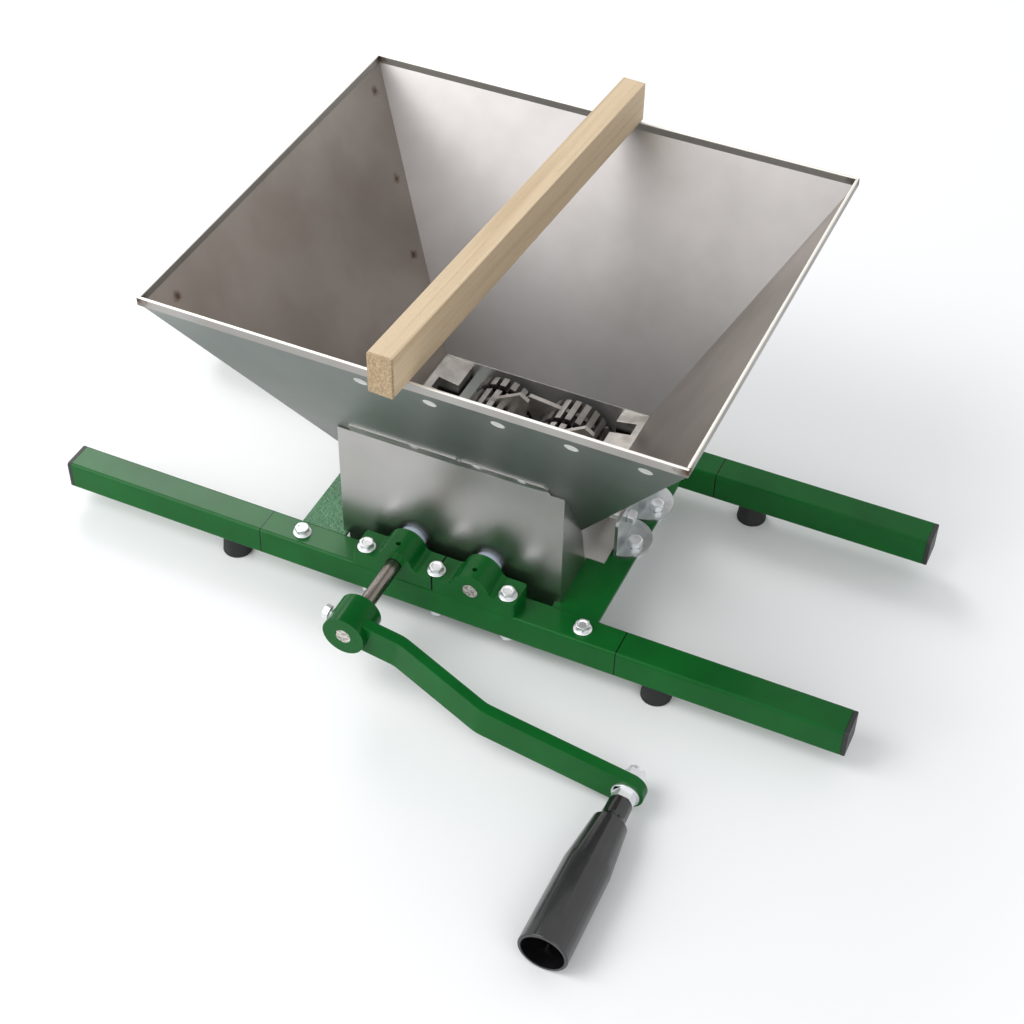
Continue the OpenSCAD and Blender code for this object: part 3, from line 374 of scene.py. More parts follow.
@dataclass(frozen=True)
class PowderCoat(Finish):
    """Green epoxy powder on steel, baked glossy with faint orange peel, with painted shade where
    tubes meet.
    """

    colour: str = "#076022"
    shade: str = "#054f1b"
    cloud: float = 60.0
    span: Range = (0.3, 0.7)
    # Painted shade: a near-black green laid on the ends where tubes butt, where the seam lies in
    # shade.
    joint: str = "#04160a"
    ends: tuple[Range, ...] = ()
    sheen: float = 25.0
    roughness: Range = (0.19, 0.3)
    gloss: float = 0.14
    coat: float = 0.06
    coat_roughness: float = 0.08
    peel: float = 3.0
    peel_depth: float = 0.012

    def paint(self, brush: Brush) -> None:
        """Dresses the shader as baked powder.

        Args:
            brush: The material's brush.
        """
        colour = brush.ramp(brush.noise(self.cloud), self.span, self.shade, self.colour)
        # Painted shade that darkens the coat towards each butting end.
        for level, fade in self.ends:
            colour = brush.blend(brush.beyond(Axis.X, level, fade), colour, self.joint)
        brush.dress(
            {
                "Base Color": colour,
                "Roughness": brush.remap(brush.noise(self.sheen), self.roughness),
                "Specular IOR Level": self.gloss,
                "Coat Weight": self.coat,
                "Coat Roughness": self.coat_roughness,
            }
        )
        brush.bump(brush.noise(self.peel, detail=2), self.peel_depth)


@dataclass(frozen=True)
class Stainless(Finish):
    """Cold-rolled stainless sheet, pickled and skin-passed: a milky satin without visible lines."""

    colour: str = "#c2bfbc"
    smudge: str = "#b2aeaa"
    cloud: float = 60.0
    span: Range = (0.35, 0.62)
    roughness: Range = (0.44, 0.4)
    tint: str = "#4f3420"
    tint_most: float = 0.9
    tint_grain: float = 4.0
    tint_ragged: Range = (-0.4, 0.7)
    tint_core: float = 0.3
    scorches: tuple[tuple[Vector, float], ...] = ()
    # Painted highlight: a light colour along the sheet's top, where light catches it.
    edge: str = "#e2dfd9"
    edge_fade: float = 0.3
    edge_level: float | None = None

    def paint(self, brush: Brush) -> None:
        """Dresses the shader as sheet, with heat tint at its welds and a painted highlight along
        its top.

        Args:
            brush: The material's brush.
        """
        cloud = brush.noise(self.cloud)
        colour = brush.ramp(cloud, self.span, self.smudge, self.colour)
        for centre, reach in self.scorches:
            colour = brush.blend(self.scorch(brush, centre, reach * MM), colour, self.tint)
        # Painted highlight along the top.
        if self.edge_level is not None:
            cut = brush.beyond(Axis.Z, self.edge_level, self.edge_fade)
            colour = brush.blend(cut, colour, self.edge)
        rough = brush.remap(cloud, self.roughness)
        brush.dress({"Base Color": colour, "Metallic": 1.0, "Roughness": rough})

    def scorch(self, brush: Brush, centre: Vector, reach: float) -> Any:
        """Finds a ragged spot of heat tint.

        Args:
            brush: The material's brush.
            centre: The middle of the spot, in metres.
            reach: Its radius, in metres.

        Returns:
            The socket of the tint's share, from 0 to 1.
        """
        away = brush.vector("DISTANCE", brush.place, centre).outputs["Value"]
        ragged = (self.tint_ragged[0] * reach, self.tint_ragged[1] * reach)
        shift = brush.remap(brush.noise(self.tint_grain), ragged)
        moved = add_node(brush.tree, "ShaderNodeMath", {0: away, 1: shift}, operation="ADD")
        return brush.remap(moved.outputs[0], (self.tint_most, 0.0), (self.tint_core * reach, reach))


@dataclass(frozen=True)
class ZincPlate(Finish):
    """Bright zinc on rolled or headed steel: cool, shiny, with a faint cloudy passivation."""

    colour: str = "#b4b7ba"
    cloud: str = "#989da0"
    mottle: float = 7.0
    span: Range = (0.35, 0.6)
    sheen: float = 3.0
    roughness: Range = (0.07, 0.24)
    relief: float = 0.02
    relief_share: float = 0.5

    def paint(self, brush: Brush) -> None:
        """Dresses the shader as zinc plate.

        Args:
            brush: The material's brush.
        """
        mottle = brush.noise(self.mottle, detail=4)
        brush.dress(
            {
                "Base Color": brush.ramp(mottle, self.span, self.cloud, self.colour),
                "Metallic": 1.0,
                "Roughness": brush.remap(brush.noise(self.sheen), self.roughness),
            }
        )
        brush.bump(mottle, self.relief, self.relief_share)


@dataclass(frozen=True)
class TurnedSteel(Finish):
    """Plain turned or drawn steel: bare grey, with fine tool marks and bright faced ends."""

    colour: str = "#918b86"
    shade: str = "#7c7670"
    stain: float = 14.0
    span: Range = (0.3, 0.65)
    mark: float = 0.7
    mark_stretch: tuple[float, float, float] = (40.0, 1.0, 40.0)
    mark_depth: float = 0.004
    roughness: Range = (0.22, 0.3)
    faced: str = "#d9d5cd"
    faced_grain: float = 2.5
    faced_span: Range = (0.42, 0.55)
    faced_fade: float = -0.1
    faced_level: float | None = None

    def paint(self, brush: Brush) -> None:
        """Dresses the shader as turned steel.

        Args:
            brush: The material's brush.
        """
        marks = brush.noise(self.mark, stretch=self.mark_stretch)
        stain = brush.noise(self.stain, detail=4)
        colour = brush.ramp(stain, self.span, self.shade, self.colour)
        if self.faced_level is not None:
            patches = brush.noise(self.faced_grain, detail=4)
            bright = brush.ramp(patches, self.faced_span, self.colour, self.faced)
            end = brush.beyond(Axis.Y, self.faced_level, self.faced_fade)
            colour = brush.blend(end, colour, bright)
        rough = brush.remap(marks, self.roughness)
        brush.dress({"Base Color": colour, "Metallic": 1.0, "Roughness": rough})
        brush.bump(marks, self.mark_depth)


@dataclass(frozen=True)
class CastAluminium(Finish):
    """Aluminium as it left the sand: pale, dull and finely pitted, with painted shade near the
    rotors' axles and low in the combs.
    """

    colour: str = "#d5d1cc"
    shade: str = "#b3afaa"
    stain: float = 12.0
    span: Range = (0.3, 0.7)
    grit: float = 0.9
    grit_depth: float = 0.12
    roughness: Range = (0.34, 0.57)
    # Painted shade: a dark colour laid on the rotors' cores and the combs' recesses, where shade
    # falls; the two radii are where it is full and where it ends.
    deep: str = "#2b2826"
    deep_r: float = 22.0
    worn_r: float = 31.0
    axle: Vector | None = None
    deep_fade: float = -4.0
    deep_level: float | None = None

    def paint(self, brush: Brush) -> None:
        """Dresses the shader as cast aluminium, with painted shade near its axle or below its
        level.

        Args:
            brush: The material's brush.
        """
        pits = brush.noise(self.grit, detail=5)
        stain = brush.noise(self.stain, detail=4)
        colour = brush.ramp(stain, self.span, self.shade, self.colour)
        # Painted shade that grows towards the rotor's axle.
        if self.axle is not None:
            arm = brush.vector("SUBTRACT", brush.place, self.axle).outputs[0]
            across = brush.vector("MULTIPLY", arm, (1, 0, 1)).outputs[0]
            radius = brush.vector("LENGTH", across).outputs["Value"]
            hidden = brush.remap(radius, (1.0, 0.0), (self.deep_r * MM, self.worn_r * MM))
            colour = brush.blend(hidden, colour, self.deep)
        # Painted shade below a level under the comb's top.
        if self.deep_level is not None:
            below = brush.beyond(Axis.Z, self.deep_level, self.deep_fade)
            colour = brush.blend(below, colour, self.deep)
        rough = brush.remap(pits, self.roughness)
        brush.dress({"Base Color": colour, "Metallic": 1.0, "Roughness": rough})
        brush.bump(pits, self.grit_depth)


@dataclass(frozen=True)
class TurnedNylon(Finish):
    """White nylon turned from bar: faintly blue, waxy, with fine rings."""

    colour: str = "#cbd5e4"
    ring: float = 0.6
    ring_stretch: tuple[float, float, float] = (40, 1, 40)
    ring_depth: float = 0.03
    roughness: Range = (0.32, 0.46)
    wax: float = 0.15
    wax_depth: float = 1.5

    def paint(self, brush: Brush) -> None:
        """Dresses the shader as turned nylon.

        Args:
            brush: The material's brush.
        """
        rings = brush.noise(self.ring, 2, self.ring_stretch)
        brush.dress(
            {
                "Base Color": linear(self.colour),
                "Subsurface Weight": self.wax,
                "Subsurface Scale": self.wax_depth * MM,
                "Roughness": brush.remap(rings, self.roughness),
            }
        )
        brush.bump(rings, self.ring_depth)


@dataclass(frozen=True)
class MouldedPlastic(Finish):
    """Injection-moulded black plastic or rubber: an even tone with the mould's fine grain."""

    colour: str = "#222222"
    shade: str = "#191919"
    cloud: float = 20.0
    span: Range = (0.3, 0.7)
    sheen: float = 9.0
    roughness: Range = (0.46, 0.56)
    coat: float = 0.0
    coat_roughness: float = 0.06
    grain: float = 0.5
    grain_depth: float = 0.03

    def paint(self, brush: Brush) -> None:
        """Dresses the shader as moulded plastic.

        Args:
            brush: The material's brush.
        """
        cloud = brush.noise(self.cloud)
        brush.dress(
            {
                "Base Color": brush.ramp(cloud, self.span, self.shade, self.colour),
                "Roughness": brush.remap(brush.noise(self.sheen, detail=4), self.roughness),
                "Coat Weight": self.coat,
                "Coat Roughness": self.coat_roughness,
            }
        )
        brush.bump(brush.noise(self.grain, detail=2), self.grain_depth)


@dataclass(frozen=True)
class PlanedBeech(Finish):
    """Planed bare beech: pale straight grain with short darker flecks, sawn across at the ends."""

    colour: str = "#cbb596"
    dark: str = "#b9a282"
    turn: float = 3.3
    ring: float = 5.0
    ring_stretch: tuple[float, float, float] = (1, 50, 1.4)
    span: Range = (0.36, 0.56)
    fleck: str = "#a3875f"
    fleck_size: float = 0.5
    fleck_stretch: tuple[float, float, float] = (1, 9, 1.6)
    fleck_offset: tuple[float, float, float] = (0.3, 0.1, 0.2)
    fleck_span: Range = (0.6, 0.78)
    fleck_most: float = 0.6
    fleck_depth: float = 0.05
    roughness: float = 0.62
    end_grain: str = "#917a5a"
    pore: float = 1.6
    pore_span: Range = (0.35, 0.7)
    end_fade: float = -0.2
    end_level: float = -1.0

    def paint(self, brush: Brush) -> None:
        """Dresses the shader as planed beech, its grain along the pusher.

        Args:
            brush: The material's brush.
        """
        turned_place = add_node(
            brush.tree,
            "ShaderNodeMapping",
            {"Vector": brush.place, "Rotation": (0, 0, math.radians(self.turn))},
        ).outputs[0]
        along = replace(brush, place=turned_place)
        rings = along.noise(self.ring, 4, self.ring_stretch)
        flecks = along.noise(self.fleck_size, 2, self.fleck_stretch, self.fleck_offset)
        board = brush.ramp(rings, self.span, self.dark, self.colour)
        seen = brush.remap(flecks, (0.0, self.fleck_most), self.fleck_span)
        board = brush.blend(seen, board, self.fleck)
        pores = brush.ramp(brush.noise(self.pore), self.pore_span, self.end_grain, self.dark)
        board = brush.blend(brush.beyond(Axis.Y, self.end_level, self.end_fade), board, pores)
        brush.dress({"Base Color": board, "Roughness": self.roughness})
        brush.bump(flecks, self.fleck_depth)


def sheet(name: str, colour: str, smudge: str, **looks: Any) -> Stainless:
    """Gives the finish of one of the machine's sheets, whose base colour can be lighter or darker
    as painted light or shade.
    """
    return Stainless(
        f"stainless_{name}", Slot.STAINLESS_SHEET, colour=colour, smudge=smudge, **looks
    )


GREEN = PowderCoat("powder_coat_green", Slot.GREEN_PAINT)
HAMMERED_GREEN = PowderCoat(
    "powder_coat_hammered",
    Slot.GREEN_PAINT,
    colour="#2a7c44",
    shade="#0c5526",
    peel=2.2,
    peel_depth=2.2,
    roughness=(0.17, 0.28),
    gloss=0.6,
)
# The sheets are copies of one stainless whose base colours differ to stand for light: painted shade
# on the darker front and side panels, painted light on the lighter back panel and cover.
STAINLESS = sheet("sheet", "#a8a5a1", "#9b9793")
COVER_SHEET = sheet("cover", "#b3b1af", "#acaaa7", roughness=(0.32, 0.28))
FRONT_PANEL = sheet("front_panel", "#8d908f", "#868988", roughness=(0.36, 0.32))
BACK_PANEL = sheet("back_panel", "#b2aead", "#a9a5a3", roughness=(0.38, 0.34))
SIDE_PANEL = sheet("side_panel", "#9b9590", "#918a84")
RIM_SHEET = sheet("rim", "#acaaa6", "#a19e9a", roughness=(0.57, 0.53))
WELD = sheet("weld_spot", "#e6e6e3", "#cfcecb", roughness=(0.62, 0.58))
ZINC = ZincPlate("zinc_plate", Slot.ZINC_PLATE)
PRESSED_ZINC = ZincPlate(
    "zinc_pressing", Slot.ZINC_PLATE, colour="#c0c4c4", cloud="#b0b5b5", roughness=(0.25, 0.42)
)
SHAFT = TurnedSteel("turned_shaft_steel", Slot.PLAIN_STEEL)
GEAR = TurnedSteel("gear_steel", Slot.GEAR_STEEL, colour="#8d8d8f", shade="#6c6c6e", mark=1.2)
CAST = CastAluminium("cast_aluminium", Slot.CAST_ALUMINIUM)
NYLON = TurnedNylon("turned_nylon", Slot.NYLON)
CAP = MouldedPlastic("moulded_cap_plastic", Slot.CAP_PLASTIC, colour="#1f1f1f", shade="#181818")
RUBBER = MouldedPlastic(
    "moulded_rubber",
    Slot.FOOT_RUBBER,
    colour="#1d1d1d",
    shade="#151515",
    grain=0.9,
    roughness=(0.66, 0.76),
)
GRIP = MouldedPlastic(
    "moulded_grip_plastic",
    Slot.GRIP_PLASTIC,
    colour="#1d1d1e",
    shade="#0d0d0f",
    grain=2.5,
    grain_depth=0.006,
    roughness=(0.2, 0.3),
    coat=0.4,
)
BEECH = PlanedBeech("planed_beech", Slot.BEECH)


@dataclass
class Workshop:
    """Holds the frame and makes, dresses and seats the pieces."""

    frame: dict[str, Any]
    made: int = 0
    join_gap: float = 0.002
    flat_angle: float = 0.4
    bend_least: float = 60.0
    bend_steps: int = 4
    face_match: float = 0.95

    def joined(self, name: str) -> bmesh.types.BMesh:
        """Copies a CAD node's mesh with its loose triangles joined.

        Args:
            name: The node's name.

        Returns:
            A new mesh, which the caller frees.
        """
        mesh = bmesh.new()
        mesh.from_mesh(self.frame["nodes"][name].data)
        bmesh.ops.remove_doubles(mesh, verts=mesh.verts, dist=self.join_gap * MM)
        return mesh

    def merged(self, name: str) -> bmesh.types.BMesh:
        """Copies a CAD node's mesh with its flat faces made whole.

        Args:
            name: The node's name.

        Returns:
            A new mesh, which the caller frees.
        """
        mesh = self.joined(name)
        bmesh.ops.dissolve_limit(
            mesh,
            angle_limit=math.radians(self.flat_angle),
            verts=mesh.verts,
            edges=mesh.edges,
            use_dissolve_boundaries=False,
        )
        return mesh

    def solids(self, name: str) -> list[tuple[Vector, Vector]]:
        """Finds the boxes of a node's separate solids.

        Args:
            name: The node's name.

        Returns:
            The lowest and highest corner of each solid, in order of X and then Y.
        """
        mesh = self.joined(name)
        left = set(mesh.verts)
        boxes = []
        while left:
            front = [left.pop()]
            group = []
            while front:
                vert = front.pop()
                group.append(vert.co.copy())
                for edge in vert.link_edges:
                    other = edge.other_vert(vert)
                    if other in left:
                        left.remove(other)
                        front.append(other)
            low = Vector([min(p[i] for p in group) for i in range(3)])
            high = Vector([max(p[i] for p in group) for i in range(3)])
            boxes.append((low, high))
        mesh.free()
        return sorted(boxes, key=lambda b: (round(b[0].x, 4), round(b[0].y, 4)))

    def finish(
        self,
        piece: bpy.types.Object,
        body: Body,
        finish: Finish,
        replaces: Sequence[str] = (),
        smooth: float | None = 32.0,
    ) -> None:
        """Dresses a piece and seats it on its body.

        Args:
            piece: The piece, in place.
            body: The body that it rides on.
            finish: Its finish.
            replaces: The CAD nodes that it stands for.
            smooth: The angle above which an edge stays sharp, in degrees, or None for no such edge.
        """
        piece.data.materials.clear()
        piece.data.materials.append(finish.material())
        for polygon in piece.data.polygons:
            polygon.use_smooth = True
            polygon.material_index = 0
        if smooth is not None:
            piece.data.set_sharp_from_angle(angle=math.radians(smooth))
        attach(piece, body.value)
        if replaces:
            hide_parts(*replaces)
        self.made += 1
        log.info("%s: %d faces, %s", piece.name, len(piece.data.polygons), finish.name)

    def eased(
        self,
        node: str,
        body: Body,
        finish: Finish,
        width: float,
        steps: int = 2,
        angle: float = 35.0,
        bends: Callable[[bmesh.types.BMEdge], bool] | None = None,
        bend_r: float = 0.0,
    ) -> None:
        """Copies a CAD node and eases its sharp edges, as tumbling, paint or a die leaves them.

        Args:
            node: The node that the piece stands for.
            body: The body that it rides on.
            finish: Its finish.
            width: The width of the eased edge, in millimetres.
            steps: The number of faces across the eased edge.
            angle: The smallest angle of an edge that is eased, in degrees.
            bends: Picks the long edges that are bends of a sheet.
            bend_r: The width of a bend, in millimetres.
        """
        mesh = self.merged(node)
        passes = [("ANGLE", width, steps)]
        if bends:
            passes.insert(0, ("WEIGHT", bend_r, self.bend_steps))
            weights = mesh.edges.layers.float.new("bevel_weight_edge")
            for edge in mesh.edges:
                if edge.calc_length() > self.bend_least * MM and bends(edge):
                    edge[weights] = 1.0
        bmesh.ops.recalc_face_normals(mesh, faces=mesh.faces)
        name = f"{node}_eased"
        data = bpy.data.meshes.new(name)
        mesh.to_mesh(data)
        mesh.free()
        piece = add_object(name, data)
        for limit, reach, across in passes:
            modifier = piece.modifiers.new("ease", "BEVEL")
            modifier.width = reach * MM
            modifier.segments = across
            modifier.limit_method = limit
            modifier.angle_limit = math.radians(angle)
            modifier.use_clamp_overlap = True
        bake(piece)
        self.finish(piece, body, finish, [node], smooth=None)
        flatten(piece.data)

    def face(self, node: str, towards: Vector) -> tuple[Vector, Vector]:
        """Finds a node's largest flat face that looks a given way.

        Args:
            node: The node's name.
            towards: The direction.

        Returns:
            The face's middle and its normal.
        """
        mesh = self.merged(node)
        seen = [f for f in mesh.faces if f.normal.dot(towards.normalized()) > self.face_match]
        best = max(seen, key=lambda f: f.calc_area())
        found = (best.calc_center_median().copy(), best.normal.copy())
        mesh.free()
        return found


def bake(piece: bpy.types.Object) -> None:
    """Replaces a piece's mesh by what its modifiers make of it.

    Args:
        piece: The piece, whose modifiers are then removed.
    """
    bpy.context.view_layer.update()
    evaluated = piece.evaluated_get(bpy.context.evaluated_depsgraph_get())
    data = bpy.data.meshes.new_from_object(evaluated)
    old = piece.data
    piece.modifiers.clear()
    piece.data = data
    data.name = piece.name
    bpy.data.meshes.remove(old)


def flatten(data: bpy.types.Mesh, alike: float = 0.6) -> None:
    """Lets the roundings take up all the turning between faces, so that flat sheet mirrors flat.

    Args:
        data: The mesh, smooth all over.
        alike: The least cosine between two faces at a corner that share the larger one's normal.
    """
    largest_first: dict[int, list[bpy.types.MeshPolygon]] = {}
    for face in sorted(data.polygons, key=lambda f: -f.area):
        for corner in face.vertices:
            largest_first.setdefault(corner, []).append(face)
    normals = [Vector()] * len(data.loops)
    for face in data.polygons:
        for loop in face.loop_indices:
            around = largest_first[data.loops[loop].vertex_index]
            shared = next(f for f in around if f == face or f.normal.dot(face.normal) > alike)
            normals[loop] = shared.normal.copy()
    data.normals_split_custom_set(normals)


def stitch(
    mesh: bmesh.types.BMesh, first: list[bmesh.types.BMVert], second: list[bmesh.types.BMVert]
) -> None:
    """Joins two rings of points, either of which may be a single point.

    Args:
        mesh: The mesh that holds them.
        first: The points of one ring.
        second: The points of the other.
    """
    count = max(len(first), len(second))
    if count == 1:
        return
    for i in range(count):
        corners = [
            first[i % len(first)],
            first[(i + 1) % len(first)],
            second[(i + 1) % len(second)],
            second[i % len(second)],
        ]
        unique = list(dict.fromkeys(corners))
        if len(unique) > 2:
            mesh.faces.new(unique)


def turned(profile: Sequence[Range], steps: int) -> bmesh.types.BMesh:
    """Turns a profile about the upright axis through the origin.

    Args:
        profile: Radius and height of each point, in millimetres.
        steps: The number of points round the axis.

    Returns:
        A closed mesh.
    """
    mesh = bmesh.new()
    rings: list[list[bmesh.types.BMVert]] = []
    for radius, height in profile:
        rings.append([])
        for i in range(steps if radius else 1):
            angle = 2 * math.pi * i / steps
            point = Vector((radius * math.cos(angle), radius * math.sin(angle), height))
            rings[-1].append(mesh.verts.new(point * MM))
    for first, second in zip(rings, rings[1:]):
        stitch(mesh, first, second)
    return mesh


def weld_spot(radius: float, steps: int = 32) -> bmesh.types.BMesh:
    """Builds the print of a spot-welding electrode: a low ring round a shallow dish.

    Args:
        radius: The ring's outer radius, in millimetres.
        steps: The number of points round it.

    Returns:
        A closed mesh about the origin, the sheet's face at height zero.
    """
    ring = [(0.0, 0.02), (-0.5, 0.16), (-1.1, 0.16), (-1.6, 0.05)]
    profile = [(0, -0.2), (radius, -0.2), *((radius + step, level) for step, level in ring)]
    return turned([*profile, (0, 0.03)], steps)


def fixed(point: Range) -> Ring:
    """Gives the ring that has one radius and one height all round."""
    return lambda angle: point


@dataclass(frozen=True)
class HexFastener:
    """A hex head, with or without a flange, on a threaded shank, or a hex nut with a bore.

    Lengths are in millimetres. The chamfer is a share of the distance across flats, the dish's
    rim and floor are shares of the chamfer's radius, and the thread and the lead before it are
    shares of the pitch. The tip is smaller than the shank by a number of thread depths.
    """

    across_flats: float
    height: float
    shank_r: float
    shank_len: float = 0.0
    flange_r: float = 0.0
    flange_h: float = 0.0
    flange_edge: Range = (0.2, 0.25)
    dish: float = 0.5
    dish_rim: float = 0.8
    dish_floor: float = 0.62
    chamfer: float = 0.48
    chamfer_angle: float = 30.0
    pitch: float = 1.0
    thread: float = 0.32
    lead: float = 0.8
    tip: float = 1.6
    most_turns: int = 14
    bore_gap: float = 0.03
    bore_chamfer: float = 0.4
    samples: int = 48

    @property
    def chamfer_r(self) -> float:
        """Gives the radius at which the hexagon's chamfer starts."""
        return self.chamfer * self.across_flats

    def corner(self, angle: float) -> float:
        """Gives the hexagon's radius at an angle in radians."""
        sixth = math.pi / 3
        return self.across_flats / 2 / math.cos((angle % sixth) - sixth / 2)

    def hex_ring(self, level: float, top: bool) -> Ring:
        """Makes the edge between a flat side and the turned chamfer.

        Args:
            level: The height of the face that the chamfer meets.
            top: True for the upper face.

        Returns:
            A function from an angle to a radius and a height.
        """
        slope = math.tan(math.radians(self.chamfer_angle)) * (-1 if top else 1)
        start = self.chamfer_r
        return lambda a: (self.corner(a), level + slope * max(0.0, self.corner(a) - start))

    def seat(self, flange: Sequence[Range]) -> list[Ring]:
        """Gives the rings from the seat to the flat sides, by way of the flange if it has one.

        Args:
            flange: The points over the flange's edge, as steps out and shares of its height.

        Returns:
            Functions from an angle to a radius and a height.
        """
        if not self.flange_r:
            return [fixed((self.chamfer_r, 0.0)), self.hex_ring(0.0, False)]
        inward, upward = self.flange_edge
        points = [(self.flange_r - inward, 0.0), (self.flange_r, upward)]
        points += [(self.flange_r + step, share * self.flange_h) for step, share in flange]
        return [*map(fixed, points), lambda a: (self.corner(a), self.flange_h)]

    def bolt_rings(self) -> list[Ring]:
        """Gives the rings of a bolt from its tip to the middle of its head.

        Returns:
            Functions from an angle to a radius and a height.
        """
        depth = self.thread * self.pitch
        shank = [(0.0, -self.shank_len), (self.shank_r - self.tip * depth, -self.shank_len)]
        level = -self.shank_len + self.lead * self.pitch
        for _ in range(min(int(self.shank_len / self.pitch) - 1, self.most_turns)):
            shank += [(self.shank_r, level), (self.shank_r - depth, level + self.pitch / 2)]
            level += self.pitch
        shank += [(self.shank_r, level), (self.shank_r, 0.0)]
        floor = self.height - self.dish
        head = [
            (self.chamfer_r, self.height),
            (self.dish_rim * self.chamfer_r, self.height),
            (self.dish_floor * self.chamfer_r, floor),
            (0.0, floor),
        ]
        return [
            *map(fixed, shank),
            *self.seat([(0.0, 0.45), (-0.3, 0.7)]),
            self.hex_ring(self.height, True),
            *map(fixed, head),
        ]

    def nut_rings(self) -> list[Ring]:
        """Gives the rings of a nut, round from its bore and back to it.

        Returns:
            Functions from an angle to a radius and a height.
        """
        bore = self.shank_r + self.bore_gap
        wide = bore + self.bore_chamfer
        top = [(self.chamfer_r, self.height), (wide, self.height)]
        return [
            *map(fixed, [(bore, self.bore_chamfer), (wide, 0.0)]),
            *self.seat([(0.0, 0.5)]),
            self.hex_ring(self.height, True),
            *map(fixed, [*top, (bore, self.height - self.bore_chamfer)]),
        ]

    def mesh(self, nut: bool = False) -> bmesh.types.BMesh:
        """Builds the fastener, its seat at the origin and its head up.

        Args:
            nut: True for a nut.

        Returns:
            A closed mesh, in metres.
        """
        mesh = bmesh.new()
        angles = [2 * math.pi * (i + 0.5) / self.samples for i in range(self.samples)]
        rows: list[list[bmesh.types.BMVert]] = []
        for ring in self.nut_rings() if nut else self.bolt_rings():
            rows.append([])
            for angle in angles if ring(0.0)[0] else angles[:1]:
                radius, level = ring(angle)
                x, y = radius * math.cos(angle), radius * math.sin(angle)
                rows[-1].append(mesh.verts.new((x * MM, y * MM, level * MM)))
        for first, second in zip(rows, rows[1:]):
            stitch(mesh, first, second)
        if nut:
            stitch(mesh, rows[-1], rows[0])
        return mesh


FRAME_BOLT = HexFastener(
    across_flats=10, height=5.5, shank_r=2.95, flange_r=7.1, flange_h=1.3, dish=0.9
)
PLAIN_BOLT = HexFastener(across_flats=10, height=5.5, shank_r=2.95, dish=0.25)
PLAIN_NUT = HexFastener(across_flats=10, height=6.0, shank_r=3.0)
FLANGE_NUT = HexFastener(across_flats=10, height=6.0, shank_r=3.0, flange_r=7.1, flange_h=1.3)


class Scatter:
    """A Geometry Nodes tree that sets copies of one shape on given points."""

    SOCKETS = (
        ("Points", "INPUT", "Geometry"),
        ("Shape", "INPUT", "Object"),
        ("Turn", "INPUT", "Rotation"),
        ("Finish", "INPUT", "Material"),
        ("Spin range", "INPUT", "Float"),
        ("Spin seed", "INPUT", "Int"),
        ("Pieces", "OUTPUT", "Geometry"),
    )

    def __init__(self) -> None:
        """Builds the tree once."""
        tree = bpy.data.node_groups.new("set_on_points", "GeometryNodeTree")
        for name, way, kind in self.SOCKETS:
            tree.interface.new_socket(name, in_out=way, socket_type=f"NodeSocket{kind}")
        given = add_node(tree, "NodeGroupInput").outputs
        shape = add_node(tree, "GeometryNodeObjectInfo", {"Object": given["Shape"]})
        spin = add_node(
            tree,
            "FunctionNodeRandomValue",
            {"Min": 0.0, "Max": given["Spin range"], "Seed": given["Spin seed"]},
            data_type="FLOAT",
        )
        spun = add_node(
            tree, "FunctionNodeAxisAngleToRotation", {"Axis": UP, "Angle": spin.outputs[1]}
        )
        turn = add_node(
            tree,
            "FunctionNodeRotateRotation",
            {"Rotation": given["Turn"], "Rotate By": spun.outputs[0]},
            rotation_space="LOCAL",
        )
        copies = add_node(
            tree,
            "GeometryNodeInstanceOnPoints",
            {
                "Points": given["Points"],
                "Instance": shape.outputs["Geometry"],
                "Rotation": turn.outputs[0],
            },
        )
        real = add_node(tree, "GeometryNodeRealizeInstances", {"Geometry": copies.outputs[0]})
        dressed = add_node(
            tree,
            "GeometryNodeSetMaterial",
            {"Geometry": real.outputs[0], "Material": given["Finish"]},
        )
        add_node(tree, "NodeGroupOutput", {"Pieces": dressed.outputs[0]})
        self.tree = tree

    def place(
        self,
        name: str,
        shape: bmesh.types.BMesh,
        points: Sequence[Vector],
        finish: Finish,
        axis: Vector,
        seed: int = 0,
    ) -> bpy.types.Object:
        """Sets copies of a shape on points.

        Args:
            name: The name of the piece that the copies become.
            shape: The shape, about the origin and upright; it is freed.
            points: Where the copies go, in metres.
            finish: The finish that the tree sets.
            axis: The direction that the shape's top points in.
            seed: The seed of each copy's own turn about its axis; zero leaves all alike.

        Returns:
            One piece that holds all the copies.
        """
        pattern = bpy.data.meshes.new(f"{name}_shape")
        bmesh.ops.recalc_face_normals(shape, faces=shape.faces)
        shape.to_mesh(pattern)
        shape.free()
        source = add_object(f"{name}_shape", pattern)
        cloud = bpy.data.meshes.new(name)
        cloud.from_pydata([tuple(p) for p in points], [], [])
        made = add_object(name, cloud)
        modifier = made.modifiers.new("set", "NODES")
        modifier.node_group = self.tree
        values = {
            "Shape": source,
            "Turn": axis.to_track_quat("Z", "Y").to_euler(),
            "Finish": finish.material(),
            "Spin range": 2 * math.pi if seed else 0.0,
            "Spin seed": seed,
        }
        for item in self.tree.interface.items_tree:
            if item.name in values:
                modifier[item.identifier] = values[item.name]
        bake(made)
        bpy.data.objects.remove(source)
        bpy.data.meshes.remove(pattern)
        return made


